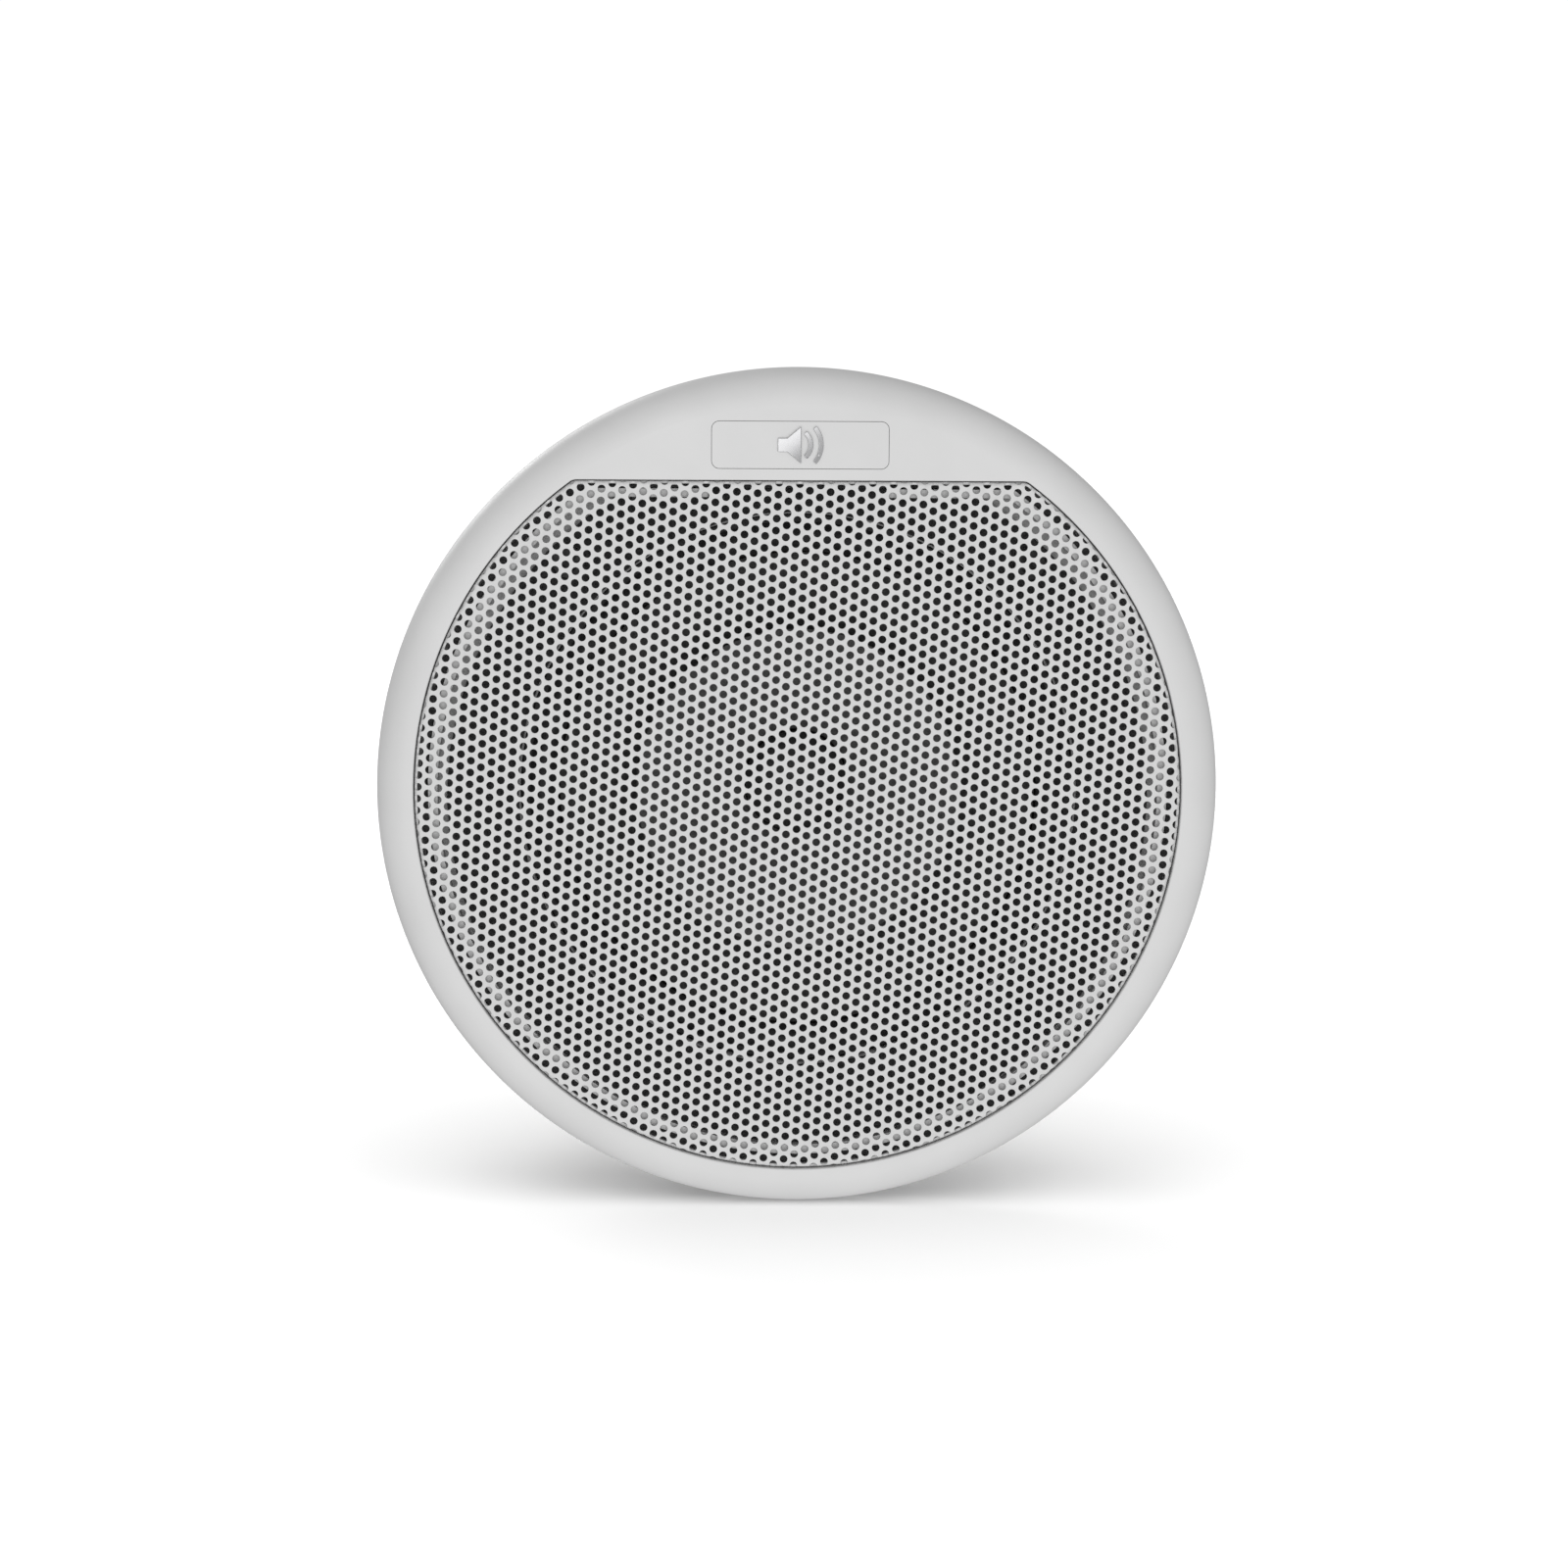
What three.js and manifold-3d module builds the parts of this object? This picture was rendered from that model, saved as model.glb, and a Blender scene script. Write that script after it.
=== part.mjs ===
// Flush-mount alarm loudspeaker: a round white bezel with a flat top segment and a badge, a D-shaped
// perforated grille, and behind them a six inch dual-cone driver, a line transformer and four swing-out
// clamps that grip the board it is let into.
//
// Millimetres. X is to the right as seen from the room, Z is up, and -Y points into the room. Y = 0 is the
// face of the board that the speaker is let into, and the Y axis is the speaker's own axis.

import * as THREE from 'three';
import { mergeVertices } from 'three/addons/utils/BufferGeometryUtils.js';
import Module from 'manifold-3d';

const wasm = await Module();
wasm.setup();

const GAP = 0.3; // between pieces that touch

// Bezel
const BEZEL_R = 107;
const BEZEL_RIM_Y = -1.4; // where the curved front meets the straight rim
const BEZEL_RIM_WALL = 2.4;
const FRONT_Y = -9.6;
const SKIN = 2;
const OPENING_R = 97.2;
const OPENING_CHORD_Z = 78.9;
const OPENING_CORNER_R = 3;
const OPENING_WALL = 1.5;

// Badge, let into the flat segment above the grille
const BADGE = { width: 44.2, height: 11.7, z: 87.7, corner: 1.9, thickness: 1.2, clearance: 0.25 };
const SYMBOL_HEIGHT = 0.45;

// Grille: a D-shaped sheet with a skirt
const GRILLE_EDGE_GAP = 0.4;
const GRILLE_FRONT_Y = -9.1;
const SHEET = 0.6;
const SKIRT_END_Y = -3.9;

// Chassis
const CHASSIS_R = 104;
const FLOOR_Y = -3.5; // the face that the grille looks at
const FLANGE_BACK_Y = -1.5;
const FLOOR_BACK_Y = -0.5;
const RIB = { r0: 91.2, r1: 93.6, chord0: 74.6, chord1: 76.7, y: -7.7, gapLow: -23, gapHigh: 22 };
const BARREL_END_Y = 5;
const LUG = { angles: [20, 160, 230, 310], r: 95.4, y: -5.6, halfWidth: 4 };
const EDGE_SEAL = { r: 95.6, chord: 77.5, y: -6.9 }; // foam strip in the groove outside the rib
const FOAM = { r: 89, z: -1.8, hole: 71, thickness: 1.7 }; // its rim is set a little low on the floor

// Clamps
const CLAMP_ANGLES = [45, 135, 225, 315];
const CLAMP_R = 82; // screw axes from the speaker's axis
const SCREW_R = 2;
const SCREW_HOLE_R = 2.4;
const SCREW_HEAD = { r: 4, height: 2.6 };
const TOWER = { r0: 76.9, r1: 90.6, endR1: 88, endY: 60.6, plate: 2.4, postFar: -9.6, postNear: -7, endReach: 5.6 };
const GUSSET = { far: -19, height: 22, r: 84, width: 2 };
const LEG = { padY: 42, hubR: 5.5, hubHeight: 13.5, armHeight: 7, reach: 26, bore: 4.1 };
const NUT = { bodyR: 3.8, boreR: 2.3, flangeR: 5, flange: 1.4 };

// Driver
const DRIVER_HOLE_R = 70.5;
const BASKET_R = 76.5;
const BASKET_Y = 0.9;
const STEEL = 1.2;
const DRIVER_SCREW_R = 73;
const DRIVER_SCREW_ANGLES = [0, 90, 180, 270];
const CONE_R = 60.5;
const NECK_R = 13.6;
const CONE_DEPTH = 22;
const WHIZZER_R = 41;
const MAGNET_R = 45;
const YOKE_BACK_Y = 60.6;

// Equipment bracket behind the magnet
const BRACKET = { x0: -57, x1: 46, z0: -20, z1: 35, y0: 60.9, y1: 62.4 };
const DECK_Y = BRACKET.y1 + GAP;
const BOLT = { r: 2.3, holeR: 2.6, headR: 4.6, head: 3.4, endY: 51 };
const STRAP_SCREW = { x: -51, r: 1.5, holeR: 1.9 };
const CORE = { x0: -45, x1: -9, z0: -15, z1: 15, y0: 66.5, y1: 78.5 };
const CORE_LEG = 6; // width of the core's middle leg each side, and of its outer legs
const COIL = { halfWidth: 11.7, halfLength: 8.7, y1: 82 };
const STRAP = 1;
const BLOCK = { x0: 16, x1: 40, z0: -19, z1: 19, y1: 79 };
const POLES_Z = [-13.5, -4.5, 4.5, 13.5];
const POLE_Y = 67.5;
const WIRE_R = 0.8;

const white = { color: 0xdcdcdc, roughness: 0.45, metalness: 0 };
const grey = { color: 0xbcbcbc, roughness: 0.5, metalness: 0 };
const coated = { color: 0xd4d4d4, roughness: 0.5, metalness: 0 };
const black = { color: 0x1b1b1c, roughness: 0.9, metalness: 0 };
const paper = { color: 0x242425, roughness: 0.85, metalness: 0 };
const blackSteel = { color: 0x232324, roughness: 0.5, metalness: 0.3 };
const zinc = { color: 0xb9bcc0, roughness: 0.35, metalness: 1 };
const ferrite = { color: 0x3a3a3d, roughness: 0.7, metalness: 0 };
const brass = { color: 0xc8a24c, roughness: 0.3, metalness: 1 };
const nylon = { color: 0xe4e2da, roughness: 0.5, metalness: 0 };
const ceramic = { color: 0xece8dc, roughness: 0.4, metalness: 0 };
const iron = { color: 0x6f7176, roughness: 0.55, metalness: 0.8 };
const tape = { color: 0xd9a520, roughness: 0.4, metalness: 0 };
const copper = { color: 0xb0623a, roughness: 0.3, metalness: 1 };
const phenolic = { color: 0x5b3a22, roughness: 0.6, metalness: 0 };
const cloth = { color: 0xc9a34a, roughness: 0.8, metalness: 0 };
const sleeve = { color: 0x1f3f7a, roughness: 0.4, metalness: 0 };

const speaker = new THREE.Group();

function volumeOf(geometry) {
  const p = geometry.getAttribute('position');
  const index = geometry.index.array;
  const [a, b, c] = [new THREE.Vector3(), new THREE.Vector3(), new THREE.Vector3()];
  let sum = 0;
  for (let i = 0; i < index.length; i += 3) {
    a.fromBufferAttribute(p, index[i]);
    b.fromBufferAttribute(p, index[i + 1]);
    c.fromBufferAttribute(p, index[i + 2]);
    sum += a.dot(b.cross(c));
  }
  return sum / 6;
}

// One closed mesh with shared vertices and its faces pointing out.
function closed(geometry) {
  const bare = geometry.clone();
  for (const name of Object.keys(bare.attributes)) {
    if (name !== 'position') bare.deleteAttribute(name);
  }
  const merged = mergeVertices(bare, 1e-4);
  const triangles = [];
  const index = merged.index.array;
  for (let i = 0; i < index.length; i += 3) {
    const t = [index[i], index[i + 1], index[i + 2]];
    if (new Set(t).size === 3) triangles.push(t);
  }
  merged.setIndex(triangles.flat());
  if (volumeOf(merged) < 0) merged.setIndex(triangles.map((t) => [t[0], t[2], t[1]]).flat());
  return merged;
}

function solid(geometry) {
  const g = closed(geometry);
  return new wasm.Manifold(new wasm.Mesh({
    numProp: 3,
    vertProperties: new Float32Array(g.getAttribute('position').array),
    triVerts: new Uint32Array(g.index.array),
  }));
}

function geometryOf(body) {
  const mesh = body.getMesh();
  const g = new THREE.BufferGeometry();
  g.setAttribute('position', new THREE.BufferAttribute(mesh.vertProperties, 3));
  g.setIndex(new THREE.BufferAttribute(mesh.triVerts, 1));
  return g;
}

function carve(base, added, removed = []) {
  let body = solid(base);
  for (const g of added) body = body.add(solid(g));
  for (const g of removed) body = body.subtract(solid(g));
  return geometryOf(body);
}

function addPiece(name, geometry, look) {
  const mesh = new THREE.Mesh(closed(geometry), new THREE.MeshStandardMaterial(look));
  mesh.name = name;
  speaker.add(mesh);
}

// A body turned about the Y axis. Each point is [radius, y].
function turned(points, segments = 48) {
  const profile = points.map(([r, y]) => new THREE.Vector2(r, y));
  const onAxis = points[0][0] === 0 && points[points.length - 1][0] === 0;
  if (!onAxis) profile.push(profile[0].clone());
  return new THREE.LatheGeometry(profile, segments);
}

function ring(r0, r1, y0, y1, segments = 48) {
  return turned([[r0, y0], [r1, y0], [r1, y1], [r0, y1]], segments);
}

function rod(r, y0, y1, x = 0, z = 0, segments = 12) {
  return ring(0, r, y0, y1, segments).translate(x, 0, z);
}

function block(x0, x1, y0, y1, z0, z1) {
  return new THREE.BoxGeometry(x1 - x0, y1 - y0, z1 - z0)
    .translate((x0 + x1) / 2, (y0 + y1) / 2, (z0 + z1) / 2);
}

// An outline in X and Z, extruded along Y from y0 to y1.
function plate(points, y0, y1) {
  const shape = new THREE.Shape(points);
  return new THREE.ExtrudeGeometry(shape, { depth: y1 - y0, bevelEnabled: false, steps: 1 })
    .rotateX(Math.PI / 2)
    .translate(0, y1, 0);
}

function arc(cx, cz, r, from, to, steps) {
  return Array.from({ length: steps + 1 }, (_, i) => {
    const a = from + (to - from) * i / steps;
    return new THREE.Vector2(cx + r * Math.cos(a), cz + r * Math.sin(a));
  });
}

// A circle cut off by a level chord, with rounded corners.
function dOutline(r, chordZ, corner, steps = 66) {
  const z = chordZ - corner;
  const x = Math.sqrt((r - corner) ** 2 - z ** 2);
  const a = Math.atan2(z, x);
  return [
    ...arc(x, z, corner, a, Math.PI / 2, 4),
    ...arc(-x, z, corner, Math.PI / 2, Math.PI - a, 4),
    ...arc(0, 0, r, Math.PI - a, 2 * Math.PI + a, steps).slice(1, -1),
  ];
}

function roundedRectangle(x0, x1, z0, z1, r, steps = 4) {
  const quarter = Math.PI / 2;
  return [
    ...arc(x1 - r, z1 - r, r, 0, quarter, steps),
    ...arc(x0 + r, z1 - r, r, quarter, 2 * quarter, steps),
    ...arc(x0 + r, z0 + r, r, 2 * quarter, 3 * quarter, steps),
    ...arc(x1 - r, z0 + r, r, 3 * quarter, 4 * quarter, steps),
  ];
}

function wire(points, r, steps) {
  const path = new THREE.CatmullRomCurve3(points.map((p) => new THREE.Vector3(...p)), false, 'centripetal');
  const section = new THREE.Shape(arc(0, 0, r, 0, 2 * Math.PI, 8).slice(0, -1));
  return new THREE.ExtrudeGeometry(section, { extrudePath: path, steps, bevelEnabled: false });
}

const degrees = (a) => a * Math.PI / 180;

// Turns a piece made on the +X side round the speaker's axis, from +X towards +Z.
const swungTo = (geometry, angle) => geometry.clone().rotateY(-degrees(angle));

const driverScrewHoles = (r) => DRIVER_SCREW_ANGLES.map((a) => swungTo(
  rod(r, -20, 20, DRIVER_SCREW_R, 0, 12), a));

function crossRecess(r, yDeep, yOut) {
  const half = 0.45;
  return [
    block(-r, r, yDeep, yOut, -half, half),
    block(-half, half, yDeep, yOut, -r, r),
  ];
}

function makeBezel() {
  const curve = Array.from({ length: 6 }, (_, i) => {
    const a = (i / 5) * Math.PI / 2;
    return [
      OPENING_R + (BEZEL_R - OPENING_R) * Math.sin(a),
      BEZEL_RIM_Y - (BEZEL_RIM_Y - FRONT_Y) * Math.cos(a),
    ];
  });
  const inside = BEZEL_R - BEZEL_RIM_WALL;
  const shell = turned([
    [0, FRONT_Y], ...curve, [BEZEL_R, 0], [inside, 0], [inside, -3.4], [100.4, FRONT_Y + SKIN],
    [0, FRONT_Y + SKIN],
  ], 64);
  const wall = plate(
    dOutline(OPENING_R + OPENING_WALL, OPENING_CHORD_Z + OPENING_WALL, OPENING_CORNER_R),
    FRONT_Y + 1, FLOOR_Y - GAP,
  );
  const opening = plate(dOutline(OPENING_R, OPENING_CHORD_Z, OPENING_CORNER_R), FRONT_Y - 5, 5);
  const x = BADGE.width / 2 + BADGE.clearance;
  const z = BADGE.height / 2 + BADGE.clearance;
  const pocket = plate(
    roundedRectangle(-x, x, BADGE.z - z, BADGE.z + z, BADGE.corner),
    FRONT_Y - 1, FRONT_Y + BADGE.thickness + GAP,
  );
  addPiece('bezel', carve(shell, [wall], [opening, pocket]), white);
}

// A loudspeaker pictogram: a driver body, a horn and two sound arcs, joined by a thin backing.
function makeBadge() {
  const x = BADGE.width / 2;
  const z = BADGE.height / 2;
  const back = FRONT_Y + BADGE.thickness;
  addPiece('badge_plate', plate(
    roundedRectangle(-x, x, BADGE.z - z, BADGE.z + z, BADGE.corner), FRONT_Y, back,
  ), white);
  const front = FRONT_Y - SYMBOL_HEIGHT - GAP;
  const foot = FRONT_Y - GAP;
  const at = (dx, dz) => new THREE.Vector2(dx, BADGE.z + dz);
  const horn = plate([
    at(-5.6, -1.7), at(-3.3, -1.7), at(0.2, -4.6), at(0.2, 4.6), at(-3.3, 1.7), at(-5.6, 1.7),
  ], front, foot);
  const wave = (r, half) => plate([
    ...arc(-1.4, BADGE.z, r, -half, half, 10),
    ...arc(-1.4, BADGE.z, r - 0.9, half, -half, 10),
  ], front, foot);
  const link = block(-2, 5.9, foot - 0.15, foot, BADGE.z - 0.35, BADGE.z + 0.35);
  addPiece('badge_symbol', carve(horn, [wave(4.6, 0.85), wave(7.2, 0.72), link]), zinc);
}

function makeGrille() {
  const r = OPENING_R - GRILLE_EDGE_GAP;
  const chord = OPENING_CHORD_Z - GRILLE_EDGE_GAP;
  const corner = OPENING_CORNER_R - GRILLE_EDGE_GAP;
  const outside = plate(dOutline(r, chord, corner), GRILLE_FRONT_Y, SKIRT_END_Y);
  const inside = plate(
    dOutline(r - SHEET, chord - SHEET, corner - SHEET), GRILLE_FRONT_Y + SHEET, SKIRT_END_Y + 1,
  );
  addPiece('grille', carve(outside, [], [inside]), coated);
}

// One tower holds the far end of a clamp screw and stops the swung-out leg.
function towerParts() {
  const { r0, r1, endY, postFar, postNear } = TOWER;
  const foot = FLOOR_BACK_Y - 0.5;
  const post = block(r0, r1, foot, endY, postFar, postNear);
  const end = block(r0, TOWER.endR1, endY - TOWER.plate, endY, postNear - 1, TOWER.endReach);
  const gusset = new THREE.ExtrudeGeometry(
    new THREE.Shape([
      new THREE.Vector2(postNear - 1, foot), new THREE.Vector2(postNear - 1, GUSSET.height),
      new THREE.Vector2(GUSSET.far, foot),
    ]),
    { depth: GUSSET.width, bevelEnabled: false },
  ).applyMatrix4(new THREE.Matrix4().set(0, 0, 1, GUSSET.r, 0, 1, 0, 0, 1, 0, 0, 0, 0, 0, 0, 1));
  return [post, end, gusset];
}

function makeChassis() {
  const disc = turned([
    [0, FLOOR_Y], [CHASSIS_R, FLOOR_Y], [CHASSIS_R, FLANGE_BACK_Y], [92, FLANGE_BACK_Y],
    [92, FLOOR_BACK_Y], [0, FLOOR_BACK_Y],
  ], 96);
  const rib = carve(
    plate(dOutline(RIB.r1, RIB.chord1, 3), RIB.y, FLOOR_Y + 1), [],
    [plate(dOutline(RIB.r0, RIB.chord0, 3), RIB.y - 1, FLOOR_Y + 2),
      block(RIB.gapLow, RIB.gapHigh, RIB.y - 1, FLOOR_Y, RIB.chord0 - 2, RIB.chord1 + 2)],
  );
  const barrel = ring(RIB.r0, RIB.r1, FLANGE_BACK_Y - 1, BARREL_END_Y, 96);
  const lug = block(RIB.r1 - 0.8, LUG.r, LUG.y, FLOOR_Y + 0.5, -LUG.halfWidth, LUG.halfWidth);
  const towers = CLAMP_ANGLES.flatMap((a) => towerParts().map((g) => swungTo(g, a)));
  const holes = CLAMP_ANGLES.map((a) => swungTo(rod(SCREW_HOLE_R, -20, 80, CLAMP_R, 0), a));
  const driverHole = rod(DRIVER_HOLE_R, -20, 20, 0, 0, 60);
  const pilots = DRIVER_SCREW_ANGLES.map((a) => swungTo(
    rod(1.7, FLOOR_Y + 0.6, 20, DRIVER_SCREW_R, 0, 12), a));
  addPiece('chassis', carve(
    disc,
    [rib, barrel, ...towers, ...LUG.angles.map((a) => swungTo(lug, a))],
    [driverHole, ...holes, ...pilots],
  ), grey);
}

function makeSeals() {
  addPiece('wall_gasket', ring(95.4, 103.6, FLANGE_BACK_Y + GAP, 0, 96), black);
  const front = FLOOR_Y - FOAM.thickness;
  const back = FLOOR_Y - GAP;
  const top = RIB.chord0 - 0.5;
  const disc = carve(rod(FOAM.r, front, back, 0, FOAM.z, 48), [], [
    rod(FOAM.hole, front - 1, back + 1, 0, 0, 48),
    ...CLAMP_ANGLES.map((a) => swungTo(
      rod(SCREW_HEAD.r + GAP, front - 1, back + 1, CLAMP_R, 0, 16), a)),
    block(-FOAM.r, FOAM.r, front - 1, back + 1, top, BEZEL_R),
  ]);
  const tab = block(RIB.gapLow + GAP, RIB.gapHigh - GAP, front, back, top - 1, RIB.chord1);
  const foam = carve(disc, [tab]);
  addPiece('baffle_foam', foam, black);
  const notch = block(RIB.r0, LUG.r + 1, LUG.y - GAP, back + 1, -LUG.halfWidth - GAP, LUG.halfWidth + GAP);
  const strip = carve(plate(dOutline(EDGE_SEAL.r, EDGE_SEAL.chord, 3), EDGE_SEAL.y, back), [], [
    plate(dOutline(RIB.r1 + GAP, RIB.chord1 + GAP, 3), EDGE_SEAL.y - 1, back + 1),
    ...LUG.angles.map((a) => swungTo(notch, a)),
  ]);
  addPiece('edge_seal', strip, black);
  const seal = carve(
    ring(70.7, 76.3, FLOOR_BACK_Y + GAP, BASKET_Y - GAP, 40), [], driverScrewHoles(2.1),
  );
  addPiece('driver_gasket', seal, black);
}

function makeBasket() {
  const y = BASKET_Y;
  const shell = turned([
    [BASKET_R, y], [61.8, y], [50.5, 24.5], [49, 27.3], [37.2, 27.3], [36, 34.4], [20, 34.4],
    [20, 34.4 + STEEL], [37.2, 34.4 + STEEL], [38.4, 27.3 + STEEL], [50, 27.3 + STEEL],
    [51.8, 24.5], [63, y + STEEL], [BASKET_R, y + STEEL],
  ], 54);
  const half = degrees(21);
  const windowShape = plate([...arc(0, 0, 66, -half, half, 6), ...arc(0, 0, 44, half, -half, 6)], 5, 22);
  const windows = [30, 90, 150, 210, 270, 330].map((a) => swungTo(windowShape, a));
  const holes = driverScrewHoles(2.1);
  addPiece('basket', carve(shell, [], [...windows, ...holes]), blackSteel);
  DRIVER_SCREW_ANGLES.forEach((a, i) => {
    const head = rod(3.2, y + STEEL + GAP, y + STEEL + GAP + 2.2, DRIVER_SCREW_R, 0);
    const shank = rod(1.4, FLOOR_Y + 0.9, y + STEEL + 1, DRIVER_SCREW_R, 0, 12);
    const slots = crossRecess(2, y + STEEL + GAP + 1, y + STEEL + 10)
      .map((g) => g.translate(DRIVER_SCREW_R, 0, 0));
    addPiece(`driver_screw_${i + 1}`, swungTo(carve(head, [shank], slots), a), zinc);
  });
}

// A thin turned skin between two radii: front(t) gives [radius, y] for t from 0 to 1.
function skin(front, thickness, steps, segments) {
  const line = Array.from({ length: steps + 1 }, (_, i) => front(i / steps));
  const back = [...line].reverse().map(([r, y]) => [r, y + thickness]);
  return turned([...line, ...back], segments);
}

function makeDiaphragm() {
  const cone = (t) => [CONE_R + (NECK_R - CONE_R) * t, -0.4 + CONE_DEPTH * t ** 0.9];
  addPiece('cone', skin(cone, 1, 3, 36), paper);
  const whizzer = (t) => [WHIZZER_R + (NECK_R - WHIZZER_R) * t, -1 + 17.5 * t ** 1.35];
  addPiece('whizzer_cone', skin(whizzer, 0.8, 4, 28), paper);
  const dome = (t) => [12.8 * t, 8 + 5.2 * (1 - Math.sqrt(1 - (0.92 * t) ** 2)) / 0.61];
  const front = Array.from({ length: 5 }, (_, i) => dome(i / 4));
  const back = [...front].reverse().map(([r, y]) => [r * 0.95, y + 0.7]);
  addPiece('dust_cap', turned([...front, ...back], 24), black);
  addPiece('voice_coil', turned([
    [12.6, 14.6], [13.2, 14.6], [13.2, 34], [13.5, 34.3], [13.5, 43], [13.2, 43.3], [13.2, 44.5],
    [12.6, 44.5],
  ], 24), copper);
}

function makeSuspension() {
  const lip = 0.7;
  const roll = (t) => [
    CONE_R + 0.4 + 7.4 * t,
    -1.1 - 3.3 * Math.sin(Math.PI * t),
  ];
  const arch = Array.from({ length: 6 }, (_, i) => roll(i / 5));
  const under = [...arch].reverse().map(([r, y]) => [r, y + lip]);
  addPiece('surround', turned([
    [56, -0.4], [56.6, -1.1], ...arch, [70, -1.1], [70, 0.5], [68.8, 0.5], ...under, [57.5, 0.2],
  ].filter(([r]) => r > CONE_R + 0.3), 32), black);
  const ripple = (t) => {
    const r = 13.9 + (46.8 - 13.9) * t;
    const flat = t < 0.08 || t > 0.8;
    return [r, 26 + (flat ? 0 : 1.1 * Math.sin((t - 0.08) / 0.72 * 4 * Math.PI))];
  };
  addPiece('spider', skin(ripple, 0.9, 8, 24), cloth);
}

function makeMotor() {
  addPiece('top_plate', ring(13.9, 40, 36, 41, 60), zinc);
  addPiece('magnet', turned([
    [22, 41.3], [MAGNET_R - 1, 41.3], [MAGNET_R, 42.3], [MAGNET_R, 54.3], [MAGNET_R - 1, 55.3],
    [22, 55.3],
  ], 60), ferrite);
  const yoke = turned([
    [0, 36], [12.2, 36], [12.2, 55.6], [40, 55.6], [40, YOKE_BACK_Y], [0, YOKE_BACK_Y],
  ], 60);
  addPiece('yoke', carve(yoke, [], [rod(BOLT.holeR, BOLT.endY - 1, YOKE_BACK_Y + 1)]), zinc);
}

function makeBracket() {
  const { x0, x1, z0, z1, y0, y1 } = BRACKET;
  const holes = [rod(BOLT.holeR, y0 - 1, y1 + 1), rod(STRAP_SCREW.holeR, y0 - 1, y1 + 1, STRAP_SCREW.x)];
  addPiece('equipment_bracket', carve(
    plate(roundedRectangle(x0, x1, z0, z1, 4), y0, y1), [], holes,
  ), zinc);
  const hexagon = arc(0, 0, BOLT.headR, 0, 2 * Math.PI, 6).slice(0, -1);
  addPiece('bracket_bolt', carve(
    plate(hexagon, DECK_Y, DECK_Y + BOLT.head), [rod(BOLT.r, BOLT.endY, DECK_Y + 1)],
  ), zinc);
}

function makeTransformer() {
  const { x0, x1, z0, z1, y0, y1 } = CORE;
  const middle = (x0 + x1) / 2;
  const beyond = 20; // well past the core on any side
  const windows = [
    block(x0 + CORE_LEG, middle - CORE_LEG, y0 - 5, y1 + 5, z0 + CORE_LEG, z1 - CORE_LEG),
    block(middle + CORE_LEG, x1 - CORE_LEG, y0 - 5, y1 + 5, z0 + CORE_LEG, z1 - CORE_LEG),
  ];
  addPiece('transformer_core', carve(block(x0, x1, y0, y1, z0, z1), [], windows), iron);
  const { halfWidth: w, halfLength: l } = COIL;
  const reach = CORE_LEG + GAP;
  const coil = carve(
    plate(roundedRectangle(middle - w, middle + w, -l, l, 2), DECK_Y, COIL.y1), [],
    [block(middle - reach, middle + reach, y0 - GAP, y1 + GAP, -beyond, beyond)],
  );
  addPiece('transformer_coil', coil, tape);
  const out0 = x0 - GAP - STRAP;
  const out1 = x1 + GAP + STRAP;
  const top = y1 + GAP;
  const clear = 0.5; // round the coil
  const strap = carve(
    block(out0, out1, DECK_Y, top + STRAP, -12, 12),
    [block(out0 - 8, out0 + STRAP, DECK_Y, DECK_Y + STRAP, -7, 7)],
    [block(out0 + STRAP, out1 - STRAP, DECK_Y - 5, top, -beyond, beyond),
      block(middle - w - clear, middle + w + clear, DECK_Y, top + 5, -l - clear, l + clear),
      rod(STRAP_SCREW.holeR, DECK_Y - 2, DECK_Y + 3, STRAP_SCREW.x, 0)],
  );
  addPiece('transformer_strap', strap, zinc);
  const seat = DECK_Y + STRAP;
  addPiece('strap_screw', carve(
    rod(3, seat + GAP, seat + 2.2, STRAP_SCREW.x, 0),
    [rod(STRAP_SCREW.r, BRACKET.y0 - 3, seat + 1, STRAP_SCREW.x, 0, 12)],
    crossRecess(1.9, seat + 1.3, DECK_Y + 9).map((g) => g.translate(STRAP_SCREW.x, 0, 0)),
  ), zinc);
}

function makeTerminals() {
  const { x0, x1, z0, z1, y1 } = BLOCK;
  const middle = (x0 + x1) / 2;
  const body = plate(roundedRectangle(x0, x1, z0, z1, 2), DECK_Y, y1);
  const removed = POLES_Z.flatMap((z) => [
    block(x0 - 5, x1 + 5, POLE_Y - 1.7, POLE_Y + 1.7, z - 1.7, z + 1.7),
    rod(2.9, 71, y1 + 5, middle, z),
  ]);
  const slits = [-9, 0, 9].map((z) => block(x0 - 1, x1 + 1, y1 - 4, y1 + 1, z - 0.7, z + 0.7));
  addPiece('terminal_block', carve(body, [], [...removed, ...slits]), ceramic);
  POLES_Z.forEach((z, i) => {
    const screw = carve(
      rod(2.5, 71 + GAP, 75.5, middle, z), [],
      [block(middle - 3, middle + 3, 74.5, 77, z - 0.4, z + 0.4)],
    );
    addPiece(`terminal_screw_${i + 1}`, screw, brass);
  });
}

function makeCapacitor() {
  const y = DECK_Y + 5.4;
  const can = new THREE.LatheGeometry([
    new THREE.Vector2(0, 14), new THREE.Vector2(4.6, 14), new THREE.Vector2(5, 14.5),
    new THREE.Vector2(5, 33.5), new THREE.Vector2(4.6, 34), new THREE.Vector2(0, 34),
  ], 16).rotateZ(-Math.PI / 2).translate(0, y, 28);
  const lead = (z, poleZ, reach) => wire([
    [33, y, z], [38, y, z], [reach, y, z - 2], [reach + 1, y - 0.3, (z + poleZ) / 2],
    [reach - 1, POLE_Y, poleZ + 1], [39, POLE_Y, poleZ],
  ], 0.5, 10);
  addPiece('capacitor', carve(can, [lead(26, POLES_Z[3], 43), lead(30, POLES_Z[2], 45.5)]), sleeve);
}

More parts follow.
